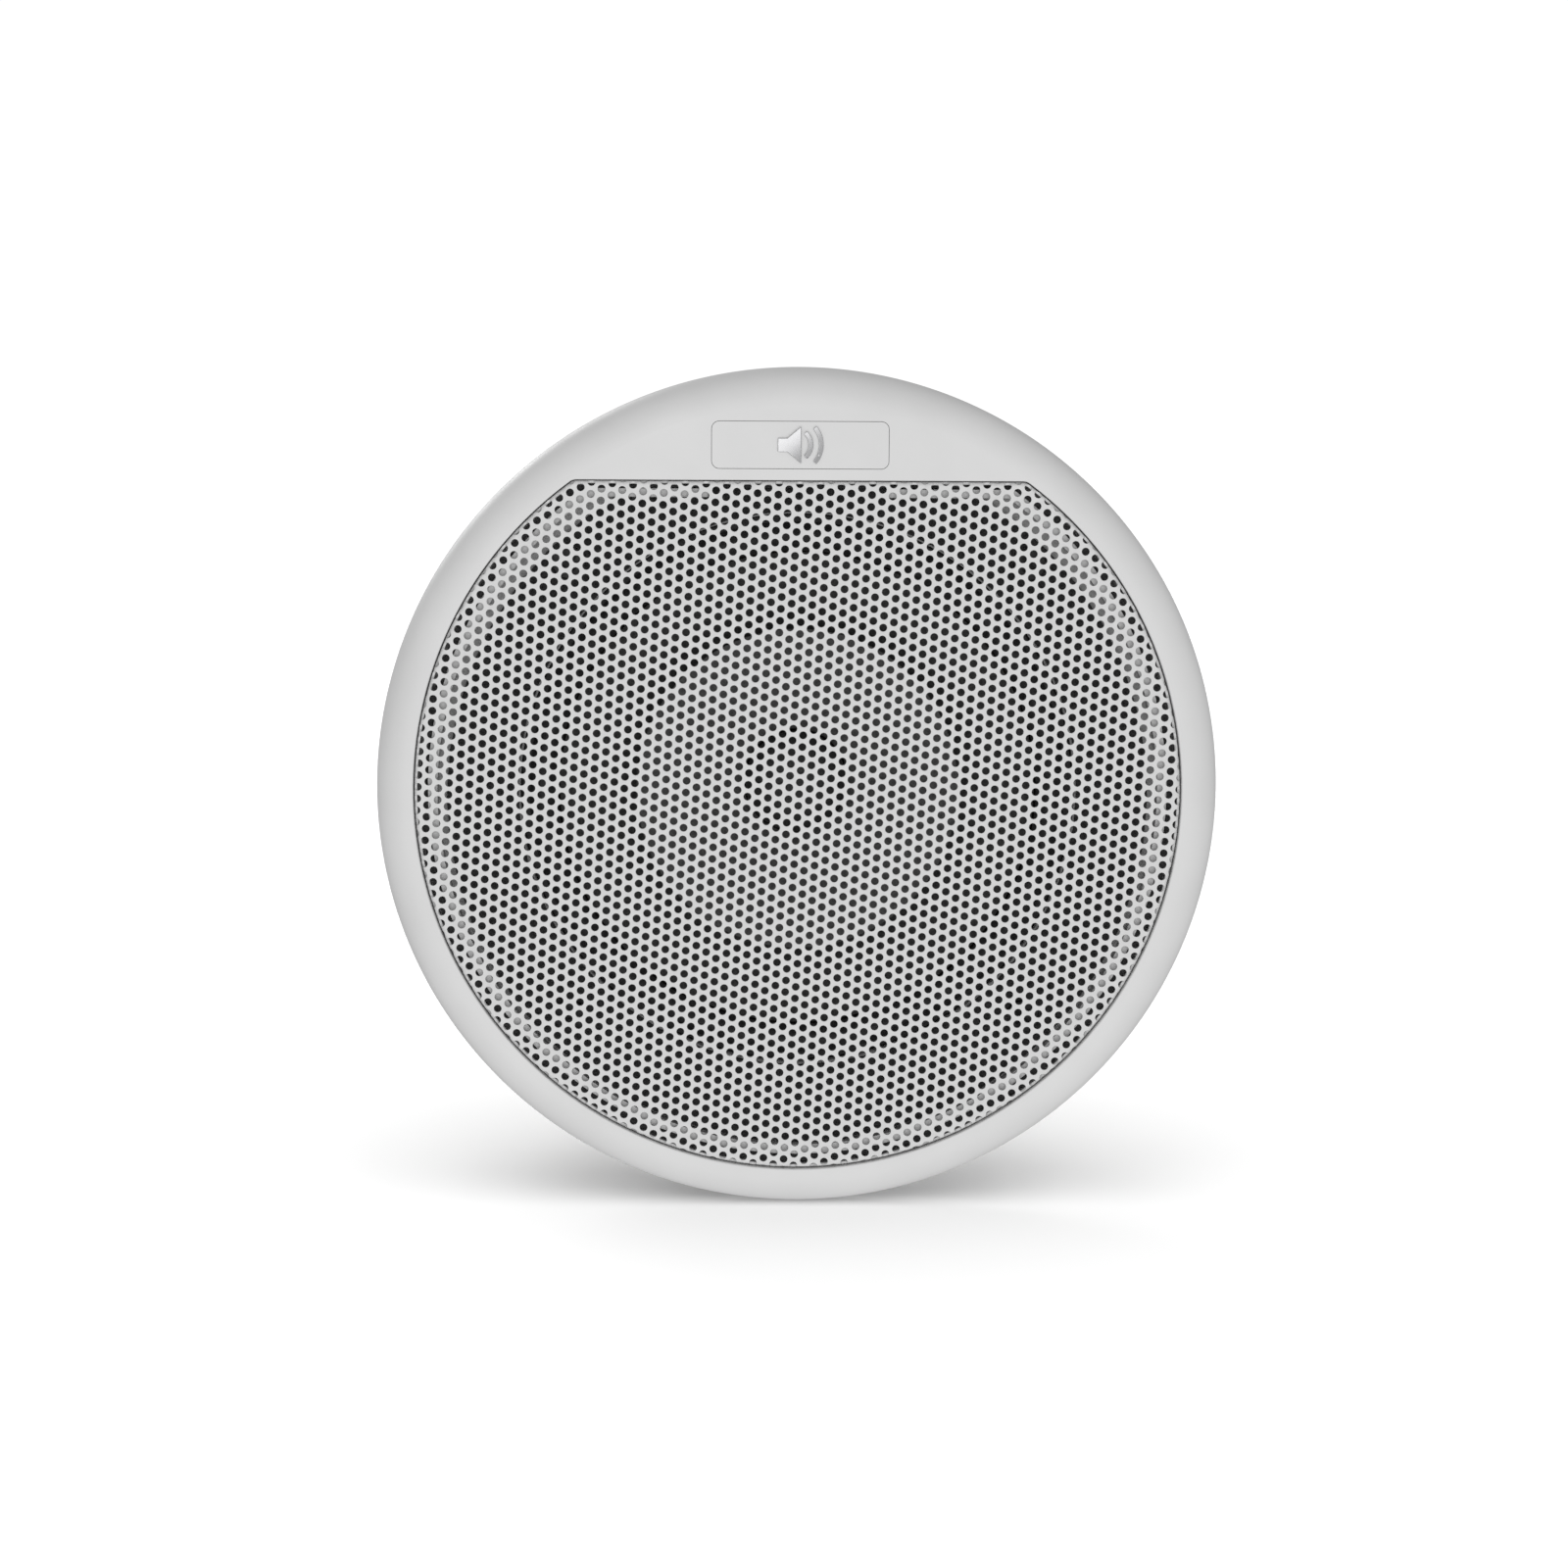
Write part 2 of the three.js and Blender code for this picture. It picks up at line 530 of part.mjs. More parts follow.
function makeWires() {
  const red = { color: 0xa81e1e, roughness: 0.45, metalness: 0 };
  const dark = { color: 0x18181a, roughness: 0.45, metalness: 0 };
  const pale = { color: 0xd8d8d4, roughness: 0.45, metalness: 0 };
  const tagZ = 53;
  const strip = carve(
    block(-9, 9, 18, 31, tagZ, tagZ + 1.6),
    [block(-6.5, -3.5, 15.5, 34, tagZ + 0.4, tagZ + 1), block(3.5, 6.5, 15.5, 34, tagZ + 0.4, tagZ + 1)],
  );
  addPiece('tag_strip', strip, phenolic);
  [[-5, red, -32], [5, dark, -22]].forEach(([x, look, coilX], i) => {
    addPiece(`voice_wire_${i + 1}`, wire([
      [x, 34.3 + WIRE_R, tagZ + 0.7], [x, 40, tagZ + 1], [x * 1.2 - 3, 50, tagZ + 1],
      [x * 1.4 - 8, 60, tagZ - 2], [x * 1.2 - 16, 70, 44], [coilX, 78, 30],
      [coilX, 81, 18], [coilX, 81.1, 12], [coilX, 81.1, 8.7 + GAP],
    ], WIRE_R, 18), look);
  });
  [[POLES_Z[1], pale], [POLES_Z[2], dark]].forEach(([z, look], i) => {
    addPiece(`line_wire_${i + 1}`, wire([
      [20, POLE_Y, z], [12, POLE_Y + 0.4, z], [5, 73, z], [-2, 80, z], [-8, 83.6, z],
      [-12, 83.2, z], [-14, 81, z], [-14.9, 80.6, z],
    ], WIRE_R, 13), look);
  });
  [-5, 5].forEach((x, i) => {
    addPiece(`tinsel_lead_${i + 1}`, wire([
      [x, 17.6, 33], [x, 21.5, 37], [x, 23, 41], [x, 22, 46], [x, 18, 50], [x, 14.4, tagZ + 0.6],
    ], 0.5, 9), copper);
  });
}

function makeClamp(angle, number) {
  const headY = FLOOR_Y - GAP;
  const screw = carve(
    rod(SCREW_HEAD.r, headY - SCREW_HEAD.height, headY, CLAMP_R, 0, 16),
    [rod(SCREW_R, headY - 1, TOWER.endY + 1.4, CLAMP_R, 0)],
    crossRecess(2.4, headY - 9, headY - 1.3).map((g) => g.translate(CLAMP_R, 0, 0)),
  );
  addPiece(`clamp_screw_${number}`, swungTo(screw, angle), blackSteel);
  const clip = ring(SCREW_R + GAP, 3.9, FLOOR_BACK_Y + GAP, FLOOR_BACK_Y + GAP + 0.9, 14);
  addPiece(`screw_clip_${number}`, swungTo(clip.translate(CLAMP_R, 0, 0), angle), blackSteel);
  const hubTop = LEG.padY + LEG.hubHeight;
  const nut = turned([
    [NUT.boreR, LEG.padY + 1], [NUT.bodyR, LEG.padY + 1], [NUT.bodyR, hubTop + GAP],
    [NUT.flangeR, hubTop + GAP], [NUT.flangeR, hubTop + GAP + NUT.flange],
    [NUT.boreR, hubTop + GAP + NUT.flange],
  ], 14).translate(CLAMP_R, 0, 0);
  addPiece(`clamp_nut_${number}`, swungTo(nut, angle), brass);
  const arm = plate([
    new THREE.Vector2(-LEG.hubR, 0), ...arc(0, 0, LEG.hubR, Math.PI, 2 * Math.PI, 8),
    new THREE.Vector2(LEG.hubR, LEG.reach), new THREE.Vector2(-LEG.hubR + 2, LEG.reach),
  ], LEG.padY, LEG.padY + LEG.armHeight);
  const leg = carve(
    arm.translate(CLAMP_R, 0, 0),
    [rod(LEG.hubR, LEG.padY, hubTop, CLAMP_R, 0, 16),
      block(CLAMP_R - 1.2, CLAMP_R + 1.2, LEG.padY + 1, LEG.padY + 11, 3, 17)],
    [rod(LEG.bore, LEG.padY - 5, hubTop + 5, CLAMP_R, 0, 16)],
  );
  addPiece(`clamp_leg_${number}`, swungTo(leg, angle), nylon);
}

makeBezel();
makeBadge();
makeGrille();
makeChassis();
makeSeals();
makeBasket();
makeDiaphragm();
makeSuspension();
makeMotor();
makeBracket();
makeTransformer();
makeTerminals();
makeCapacitor();
makeWires();
CLAMP_ANGLES.forEach((angle, i) => makeClamp(angle, i + 1));

export default speaker;
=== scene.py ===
# Flush-mount alarm loudspeaker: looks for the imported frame. Metres, same frame as the CAD.
import math
import bmesh
import bpy
import numpy as np
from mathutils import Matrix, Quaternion, Vector
from mathutils.geometry import delaunay_2d_cdt


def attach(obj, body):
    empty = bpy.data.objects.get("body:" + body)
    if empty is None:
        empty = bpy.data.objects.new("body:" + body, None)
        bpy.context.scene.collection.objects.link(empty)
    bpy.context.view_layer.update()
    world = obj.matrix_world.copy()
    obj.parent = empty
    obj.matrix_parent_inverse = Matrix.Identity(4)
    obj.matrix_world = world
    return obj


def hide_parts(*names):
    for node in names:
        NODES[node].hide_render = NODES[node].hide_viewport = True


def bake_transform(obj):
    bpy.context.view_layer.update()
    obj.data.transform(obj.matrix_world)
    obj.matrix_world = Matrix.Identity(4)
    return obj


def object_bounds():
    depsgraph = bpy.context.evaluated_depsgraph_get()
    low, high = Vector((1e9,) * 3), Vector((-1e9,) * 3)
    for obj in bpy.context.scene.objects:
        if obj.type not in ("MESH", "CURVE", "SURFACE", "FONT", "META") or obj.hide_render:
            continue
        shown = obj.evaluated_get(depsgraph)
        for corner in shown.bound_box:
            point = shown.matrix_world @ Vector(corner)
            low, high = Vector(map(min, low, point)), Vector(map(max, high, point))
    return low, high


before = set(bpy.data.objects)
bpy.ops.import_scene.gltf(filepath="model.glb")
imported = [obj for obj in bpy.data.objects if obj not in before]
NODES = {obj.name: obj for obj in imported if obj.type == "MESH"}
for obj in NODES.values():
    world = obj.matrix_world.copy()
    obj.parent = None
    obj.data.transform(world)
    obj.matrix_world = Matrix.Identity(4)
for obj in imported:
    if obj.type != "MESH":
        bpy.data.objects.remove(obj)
cad_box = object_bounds()
MM = 0.001  # lengths below are in millimetres unless they say metres
CREASE = 35  # degrees between two faces that leave a sharp edge
CAD_CREASE = 32  # the same on the CAD's own nodes
WAVE_PERIOD = 0.314  # of a wave texture at scale 1

# Bezel
BEZEL_R = 107
RIM_Y = -1.4
FRONT_Y = -9.6
FRONT_BACK_Y = -7.6  # back of the front wall
WALL_END_Y = -3.8  # where the wall round the opening ends
OPEN_R, OPEN_CHORD, OPEN_CORNER = 97.2, 78.9, 3.0
LIP = 0.35  # radius of the lip's edge
BADGE_W, BADGE_H, BADGE_Z, BADGE_CORNER = 44.2, 11.7, 87.7, 1.9
BADGE_THICK, BADGE_EDGE = 1.2, 0.1
POCKET_GAP = 0.11  # round the badge plate
POCKET_LIP = 0.08  # radius of the pocket's edge
POCKET_FLOOR_Y = -8.1

# Grille
PITCH = 3.0
HOLE_R = 1.02  # the photo measures 0.955, but dark holes shrink when a small render averages them
HOLE_SIDES = 12
HOLE_REACH = 2.2  # how far past the start of the bend a hole's centre may lie
HOLE_CLEAR = 0.16  # from a hole to the mesh points round it
LATTICE = 45  # rows and columns of holes tried each way
ROW_ANGLE = math.radians(26.37)
HOLE_ORIGIN = (-0.35, -9.16)
SHEET = 0.6
SHEET_Y = -9.1
ROLL = 1.1  # outer radius of the rolled edge
EDGE_GAP = 0.32
SKIRT_END_Y = -3.9
SKIRT_ROW = 1.4  # from the end of the bend to the skirt's inner row of points
BEND_STEPS, END_STEPS = 330, 300  # points round the bend's rows and the skirt's end

# Behind
CAPACITOR_END_X = 34.1
WINDING_Y = 34.2  # where the voice coil's turns start on its former
COPPER = (0.66, 0.28, 0.13)

# Stage
WORLD_LIGHT, WORLD_SEEN = 0.43, 1.05  # strength on the object, and as the camera sees it
CAMERA_PLACE, CAMERA_AIM = (-0.02165, -0.8440, 0.1120), (-0.0036, -0.0091, 0.0024)  # metres
CAMERA_LENS, CAMERA_ROLL = 76.5, math.radians(0.32)


# ---------------------------------------------------------------- shapes
def arc(cx, cz, r, a0, a1, steps, last=True):
    angles = [a0 + (a1 - a0) * i / steps for i in range(steps + 1 if last else steps)]
    return [(cx + r * math.cos(a), cz + r * math.sin(a)) for a in angles]


def d_outline(r, chord, corner, steps=300, corner_steps=10, chord_steps=40):
    """A circle cut off by a level chord with rounded corners. It runs counter-clockwise from the chord's
    right end."""
    z = chord - corner
    x = math.sqrt((r - corner) ** 2 - z ** 2)
    a = math.atan2(z, x)
    points = [(x - 2 * x * i / chord_steps, chord) for i in range(chord_steps)]
    points += arc(-x, z, corner, math.pi / 2, math.pi - a, corner_steps, last=False)
    points += arc(0, 0, r, math.pi - a, 2 * math.pi + a, steps, last=False)
    points += arc(x, z, corner, a, math.pi / 2, corner_steps, last=False)
    return points


def rounded(width, height, corner, grow=0.0, steps=8):
    """A rounded rectangle round the origin, grown outwards by grow."""
    x, z, q = width / 2 - corner, height / 2 - corner, math.pi / 2
    r = corner + grow
    points = []
    for i, (cx, cz) in enumerate(((x, z), (-x, z), (-x, -z), (x, -z))):
        points += arc(cx, cz, r, i * q, (i + 1) * q, steps)
    return points


def mesh_object(name, verts, faces):
    mesh = bpy.data.meshes.new(name)
    mesh.from_pydata([(x * MM, y * MM, z * MM) for x, y, z in verts], [], faces)
    mesh.validate()
    obj = bpy.data.objects.new(name, mesh)
    bpy.context.scene.collection.objects.link(obj)
    shade(mesh)
    return obj


def shade(mesh, angle=CREASE):
    mesh.polygons.foreach_set("use_smooth", [True] * len(mesh.polygons))
    mesh.set_sharp_from_angle(angle=math.radians(angle))


def face_outwards(obj):
    bm = bmesh.new()
    bm.from_mesh(obj.data)
    bmesh.ops.recalc_face_normals(bm, faces=bm.faces)
    bm.to_mesh(obj.data)
    bm.free()
    shade(obj.data)
    return obj


def loft(name, rows, closed_rows=False, caps=(False, False)):
    """Quads between rows of as many points each. Every row is a closed loop of (x, y, z)."""
    n = len(rows[0])
    verts = [p for row in rows for p in row]
    faces = []
    pairs = list(zip(range(len(rows) - 1), range(1, len(rows))))
    if closed_rows:
        pairs.append((len(rows) - 1, 0))
    for a, b in pairs:
        for i in range(n):
            j = (i + 1) % n
            faces.append((a * n + i, a * n + j, b * n + j, b * n + i))
    if caps[0]:
        faces.append(tuple(range(n)))
    if caps[1]:
        k = (len(rows) - 1) * n
        faces.append(tuple(range(k + n - 1, k - 1, -1)))
    return face_outwards(mesh_object(name, verts, faces))


def lathe(name, profile, segments):
    """A closed profile of (radius, y) turned about the Y axis."""
    rows = []
    for r, y in profile:
        r = max(r, 1e-4)
        rows.append([(r * math.cos(2 * math.pi * i / segments), y,
                      r * math.sin(2 * math.pi * i / segments)) for i in range(segments)])
    return loft(name, rows, closed_rows=True)


def slab(name, outline, y_front, y_back, edge, steps=4):
    """A flat plate with rounded front edges. outline(grow) gives its outline grown by grow."""
    rows = []
    for i in range(steps + 1):
        a = i / steps * math.pi / 2
        rows.append([(x, y_front + edge * (1 - math.sin(a)), z)
                     for x, z in outline(-edge * (1 - math.cos(a)))])
    rows = rows[::-1]
    rows.append([(x, y_back, z) for x, z in outline(0)])
    return loft(name, rows, caps=(True, True))


def inside(p, loop):
    """Whether a point lies in a closed loop, by counting crossings."""
    x, z = p
    a, b = loop, np.roll(loop, -1, 0)
    crosses = (a[:, 1] > z) != (b[:, 1] > z)
    with np.errstate(divide="ignore", invalid="ignore"):
        at = a[:, 0] + (z - a[:, 1]) / (b[:, 1] - a[:, 1]) * (b[:, 0] - a[:, 0])
    return np.count_nonzero(crosses & (x < at)) % 2 == 1


def flat_fill(points, holes=(), grid=0.0):
    """Triangles of a flat region: an outer loop of (x, z) points with holes in it. With a grid it also gets
    points inside, that far apart."""
    loops = [list(points)] + [list(h) for h in holes]
    verts, edges = [], []
    for loop in loops:
        start = len(verts)
        verts += loop
        edges += [(start + i, start + (i + 1) % len(loop)) for i in range(len(loop))]
    poly = [np.array(loop) for loop in loops]
    if grid:
        low, high = poly[0].min(0), poly[0].max(0)
        for gx in np.arange(low[0], high[0], grid):
            for gz in np.arange(low[1], high[1], grid):
                near = min(np.hypot(*(loop - (gx, gz)).T).min() for loop in poly)
                if near > grid * 0.5 and inside((gx, gz), poly[0]):
                    verts.append((gx, gz))
    out, _, faces, _, _, _ = delaunay_2d_cdt([Vector(v) for v in verts], edges, [], 0, 1e-7)

    kept = []
    for f in faces:
        c = np.mean([out[i] for i in f], axis=0)
        if inside(c, poly[0]) and not any(inside(c, h) for h in poly[1:]):
            kept.append(tuple(f))
    return [tuple(v) for v in out], kept


def joined(name, objects, merge):
    """One object from several, with touching vertices merged."""
    bm = bmesh.new()
    for o in objects:
        bm.from_mesh(o.data)
        mesh = o.data
        bpy.data.objects.remove(o)
        bpy.data.meshes.remove(mesh)
    bmesh.ops.remove_doubles(bm, verts=bm.verts, dist=merge * MM)
    bmesh.ops.recalc_face_normals(bm, faces=bm.faces)
    mesh = bpy.data.meshes.new(name)
    bm.to_mesh(mesh)
    bm.free()
    obj = bpy.data.objects.new(name, mesh)
    bpy.context.scene.collection.objects.link(obj)
    shade(mesh)
    return obj


def weighted(obj):
    obj.modifiers.new("weighted", "WEIGHTED_NORMAL").keep_sharp = True


def bevelled(obj, width, segments, angle):
    m = obj.modifiers.new("bevel", "BEVEL")
    m.width = width * MM
    m.segments = segments
    m.limit_method = "ANGLE"
    m.angle_limit = math.radians(angle)
    m.harden_normals = True
    m.use_clamp_overlap = True


# ---------------------------------------------------------------- materials
class Look:
    """A node material with short helpers. Coordinates are the frame's own, in metres."""

    def __init__(self, name, colour, rough, metal=0.0, **sockets):
        self.material = bpy.data.materials.new(name)
        self.material.use_nodes = True
        self.tree = self.material.node_tree
        self.nodes, self.links = self.tree.nodes, self.tree.links
        self.shader = self.nodes["Principled BSDF"]
        self.shader.inputs["Base Color"].default_value = (*colour, 1)
        self.shader.inputs["Roughness"].default_value = rough
        self.shader.inputs["Metallic"].default_value = metal
        for key, value in sockets.items():
            self.shader.inputs[key.replace("_", " ")].default_value = value
        self.place = self.nodes.new("ShaderNodeTexCoord").outputs["Object"]
        self.base = self.height = None  # the last colour and bump laid on

    def scaled(self, x, y, z):
        m = self.nodes.new("ShaderNodeMapping")
        m.inputs["Scale"].default_value = (x, y, z)
        self.links.new(self.place, m.inputs["Vector"])
        return m.outputs[0]

    def noise(self, size, detail=3.0, rough=0.55, place=None):
        """Noise whose features are about size millimetres, or that takes its scale from place."""
        n = self.nodes.new("ShaderNodeTexNoise")
        n.inputs["Scale"].default_value = 1 / (size * MM) if place is None else 1.0
        n.inputs["Detail"].default_value = detail
        n.inputs["Roughness"].default_value = rough
        self.links.new(place or self.place, n.inputs["Vector"])
        return n.outputs["Fac"]

    def cells(self, size):
        n = self.nodes.new("ShaderNodeTexVoronoi")
        n.inputs["Scale"].default_value = 1 / (size * MM)
        self.links.new(self.place, n.inputs["Vector"])
        return n.outputs["Distance"]

    def bands(self, axis, size, distortion=0.0, profile="SIN"):
        n = self.nodes.new("ShaderNodeTexWave")
        n.bands_direction = axis
        n.wave_profile = profile
        n.inputs["Scale"].default_value = WAVE_PERIOD / (size * MM)
        n.inputs["Distortion"].default_value = distortion
        self.links.new(self.place, n.inputs["Vector"])
        return n.outputs["Fac"]

    def remap(self, value, from0, from1, to0, to1):
        n = self.nodes.new("ShaderNodeMapRange")
        for key, v in zip(("From Min", "From Max", "To Min", "To Max"), (from0, from1, to0, to1)):
            n.inputs[key].default_value = v
        self.links.new(value, n.inputs["Value"])
        return n.outputs[0]

    def beyond(self, axis, edge, before, after):
        """One value before an edge along an axis, in millimetres, and another after it."""
        axes = self.nodes.new("ShaderNodeSeparateXYZ")
        self.links.new(self.place, axes.inputs[0])
        return self.remap(axes.outputs[axis], (edge - 0.1) * MM, edge * MM, before, after)

    def maths(self, op, a, b):
        n = self.nodes.new("ShaderNodeMath")
        n.operation = op
        for i, v in enumerate((a, b)):
            if isinstance(v, (int, float)):
                n.inputs[i].default_value = v
            else:
                self.links.new(v, n.inputs[i])
        return n.outputs[0]

    def stain(self, fac, low, high, dark, light):
        """Colours the surface from dark to light as fac goes from low to high."""
        ramp = self.nodes.new("ShaderNodeValToRGB")
        ramp.color_ramp.elements[0].position = low
        ramp.color_ramp.elements[0].color = (*dark, 1)
        ramp.color_ramp.elements[1].position = high
        ramp.color_ramp.elements[1].color = (*light, 1)
        self.links.new(fac, ramp.inputs[0])
        self.links.new(ramp.outputs[0], self.shader.inputs["Base Color"])
        self.base = ramp.outputs[0]
        return self

    def over(self, fac, colour):
        """Lays another colour over the present one where fac is 1."""
        mix = self.nodes.new("ShaderNodeMix")
        mix.data_type = "RGBA"
        self.links.new(fac, mix.inputs[0])
        self.links.new(self.base, mix.inputs[6])
        mix.inputs[7].default_value = (*colour, 1)
        self.links.new(mix.outputs[2], self.shader.inputs["Base Color"])
        self.base = mix.outputs[2]
        return self

    def roughness(self, fac, low, high):
        self.links.new(self.remap(fac, 0.3, 0.7, low, high), self.shader.inputs["Roughness"])
        return self

    def bump(self, fac, depth):
        """Bump of about depth millimetres."""
        n = self.nodes.new("ShaderNodeBump")
        n.inputs["Strength"].default_value = 1.0
        n.inputs["Distance"].default_value = depth * MM
        self.links.new(fac, n.inputs["Height"])
        if self.height:
            self.links.new(self.height, n.inputs["Normal"])
        self.height = n.outputs[0]
        self.links.new(n.outputs[0], self.shader.inputs["Normal"])
        return self


def tint(colour, k):
    return tuple(min(1.0, c * k) for c in colour)


def moulded(name, colour, rough=0.42, grain=0.35, depth=0.004):
    """Moulded plastic: a fine grain and a faint unevenness."""
    look = Look(name, colour, rough)
    broad = look.noise(22, 4)
    look.stain(broad, 0.3, 0.7, tint(colour, 0.965), tint(colour, 1.01))
    look.roughness(look.noise(9, 5), rough - 0.04, rough + 0.06)
    look.bump(look.noise(grain, 2), depth)
    look.bump(look.noise(14, 2), 0.01)
    return look.material


def plated(name, colour, rough):
    look = Look(name, colour, rough, 1.0)
    fine = look.noise(0.6, 4)
    broad = look.noise(7, 4)
    look.stain(broad, 0.35, 0.7, tint(colour, 0.8), tint(colour, 1.04))
    look.roughness(fine, rough - 0.08, rough + 0.12)
    look.bump(fine, 0.006)
    return look.material


def wound_coil():
    """Bare enamelled turns at the back of a black former that starts at the cone's neck."""
    look = Look("wound_coil", COPPER, 0.32, 1.0)
    turns = look.bands("Y", 0.3)
    look.stain(turns, 0.1, 0.7, (0.36, 0.13, 0.05), (0.7, 0.3, 0.14))
    former = look.beyond("Y", WINDING_Y, 1.0, 0.0)
    look.over(former, (0.022, 0.021, 0.02))
    look.links.new(look.maths("SUBTRACT", 1.0, former), look.shader.inputs["Metallic"])
    look.roughness(look.noise(1.2, 4), 0.28, 0.5)
    look.bump(turns, 0.03)
    return look.material


def polished(name, colour, rough):
    look = Look(name, colour, rough, 1.0)
    look.stain(look.noise(9, 3), 0.3, 0.7, tint(colour, 0.96), colour)
    look.roughness(look.noise(4, 4), rough - 0.02, rough + 0.04)
    look.bump(look.noise(2.5, 2), 0.0012)
    return look.material


def foam():
    look = Look("closed_cell_foam", (0.042, 0.042, 0.043), 0.95)
    cell = look.cells(0.55)
    look.stain(cell, 0.1, 0.6, (0.014, 0.014, 0.014), (0.058, 0.058, 0.059))
    look.bump(cell, 0.12)
    look.bump(look.noise(3), 0.1)
    return look.material


def pulp():
    look = Look("pressed_pulp", (0.05, 0.05, 0.051), 0.85)
    fibre = look.noise(1, 6, 0.7, look.scaled(500, 900, 2400))
    cross = look.noise(1, 6, 0.7, look.scaled(2200, 900, 420))
    both = look.maths("MAXIMUM", fibre, cross)
    look.stain(both, 0.45, 0.72, (0.052, 0.052, 0.053), (0.125, 0.124, 0.121))
    look.bump(both, 0.05)
    look.bump(look.noise(2.5), 0.08)
    return look.material


def rubber():
    colour = (0.034, 0.034, 0.035)
    look = Look("rubber", colour, 0.55)
    dust = look.noise(5, 6, 0.65)
    look.stain(dust, 0.4, 0.75, colour, tint(colour, 2.2))
    look.roughness(dust, 0.45, 0.75)
    look.bump(look.noise(0.3), 0.006)
    return look.material


def cloth():
    look = Look("resined_cotton", (0.55, 0.36, 0.1), 0.75, Sheen_Weight=0.25)
    warp = look.bands("X", 0.32, 1.2)
    weft = look.bands("Z", 0.32, 1.2)
    weave = look.maths("MULTIPLY", warp, weft)
    look.stain(weave, 0.1, 0.6, (0.24, 0.13, 0.03), (0.68, 0.47, 0.16))
    look.bump(weave, 0.09)
    return look.material


def ferrite():
    look = Look("sintered_ferrite", (0.075, 0.075, 0.08), 0.55)
    look.stain(look.noise(2.2, 6, 0.7), 0.35, 0.72, (0.045, 0.045, 0.05), (0.12, 0.12, 0.125))
    pits = look.cells(1.1)
    look.over(look.remap(pits, 0.08, 0.14, 1.0, 0.0), (0.02, 0.02, 0.022))
    look.roughness(look.noise(1.2, 5), 0.4, 0.7)
    look.bump(look.remap(pits, 0.05, 0.2, 0, 1), 0.05)
    look.bump(look.noise(0.5, 4), 0.03)
    return look.material


def laminations():
    look = Look("core_laminations", (0.2, 0.2, 0.21), 0.5, 0.7)
    sheets = look.bands("Y", 0.5, 0.35)
    look.stain(sheets, 0.15, 0.6, (0.035, 0.035, 0.04), (0.3, 0.3, 0.31))
    rust = look.noise(3.5, 6, 0.7)
    look.over(look.remap(rust, 0.6, 0.72, 0.0, 0.6), (0.16, 0.085, 0.045))
    look.roughness(look.noise(1.5, 4), 0.38, 0.62)
    look.bump(sheets, 0.09)
    return look.material


def tape():
    look = Look("polyester_tape", (0.78, 0.5, 0.05), 0.28, Coat_Weight=0.3)
    turns = look.bands("Y", 6.2, 0.15, "SAW")
    look.stain(look.noise(9, 4), 0.3, 0.7, (0.62, 0.36, 0.03), (0.82, 0.55, 0.07))
    look.over(look.remap(turns, 0.0, 0.06, 0.55, 0.0), (0.36, 0.2, 0.02))
    look.roughness(look.noise(4, 4), 0.2, 0.4)
    look.bump(look.noise(5, 3), 0.12)
    look.bump(turns, 0.08)
    return look.material


def insulation(name, colour):
    look = Look(name, colour, 0.38)
    look.stain(look.noise(4, 4), 0.3, 0.7, tint(colour, 0.8), tint(colour, 1.1))
    look.roughness(look.noise(1.6, 4), 0.3, 0.5)
    look.bump(look.noise(0.7, 2), 0.012)
    return look.material


def shrink_sleeve():
    """A blue sleeve over the capacitor's can, and its bare tinned leads beyond the can's end."""
    look = Look("capacitor_sleeve", (0.03, 0.07, 0.24), 0.36)
    look.stain(look.noise(4, 4), 0.3, 0.7, (0.024, 0.055, 0.19), (0.034, 0.078, 0.27))
    bare = look.beyond("X", CAPACITOR_END_X, 0.0, 1.0)
    look.over(bare, (0.6, 0.6, 0.61))
    look.links.new(bare, look.shader.inputs["Metallic"])
    look.roughness(look.noise(1.6, 4), 0.28, 0.46)
    look.bump(look.noise(0.7, 2), 0.012)
    return look.material


def glazed():
    look = Look("steatite", (0.8, 0.76, 0.66), 0.24)
    look.stain(look.noise(5, 5), 0.35, 0.7, (0.7, 0.65, 0.54), (0.84, 0.81, 0.72))
    specks = look.cells(2.6)
    look.over(look.remap(specks, 0.04, 0.07, 0.7, 0.0), (0.3, 0.24, 0.17))
    look.roughness(look.noise(1.5, 4), 0.16, 0.36)
    look.bump(look.noise(1.4, 3), 0.02)
    return look.material


def board():
    look = Look("phenolic_board", (0.17, 0.075, 0.03), 0.45)
    fibre = look.noise(1, 6, 0.65, look.scaled(260, 1600, 1600))
    look.stain(fibre, 0.35, 0.7, (0.11, 0.045, 0.016), (0.23, 0.11, 0.045))
    look.bump(fibre, 0.02)
    return look.material


def whizzer_paper():
    look = Look("whizzer_pulp", (0.085, 0.085, 0.086), 0.8)
    fibre = look.noise(0.7, 6, 0.7)
    look.stain(fibre, 0.35, 0.7, (0.1, 0.1, 0.101), (0.19, 0.188, 0.185))
    look.bump(fibre, 0.05)
    return look.material


def cap_cloth():
    look = Look("doped_cloth", (0.03, 0.03, 0.031), 0.4, Coat_Weight=0.25)
    weave = look.maths("MULTIPLY", look.bands("X", 0.28), look.bands("Z", 0.28))
    look.stain(weave, 0.1, 0.7, (0.028, 0.028, 0.028), (0.09, 0.09, 0.09))
    look.bump(weave, 0.03)
    return look.material


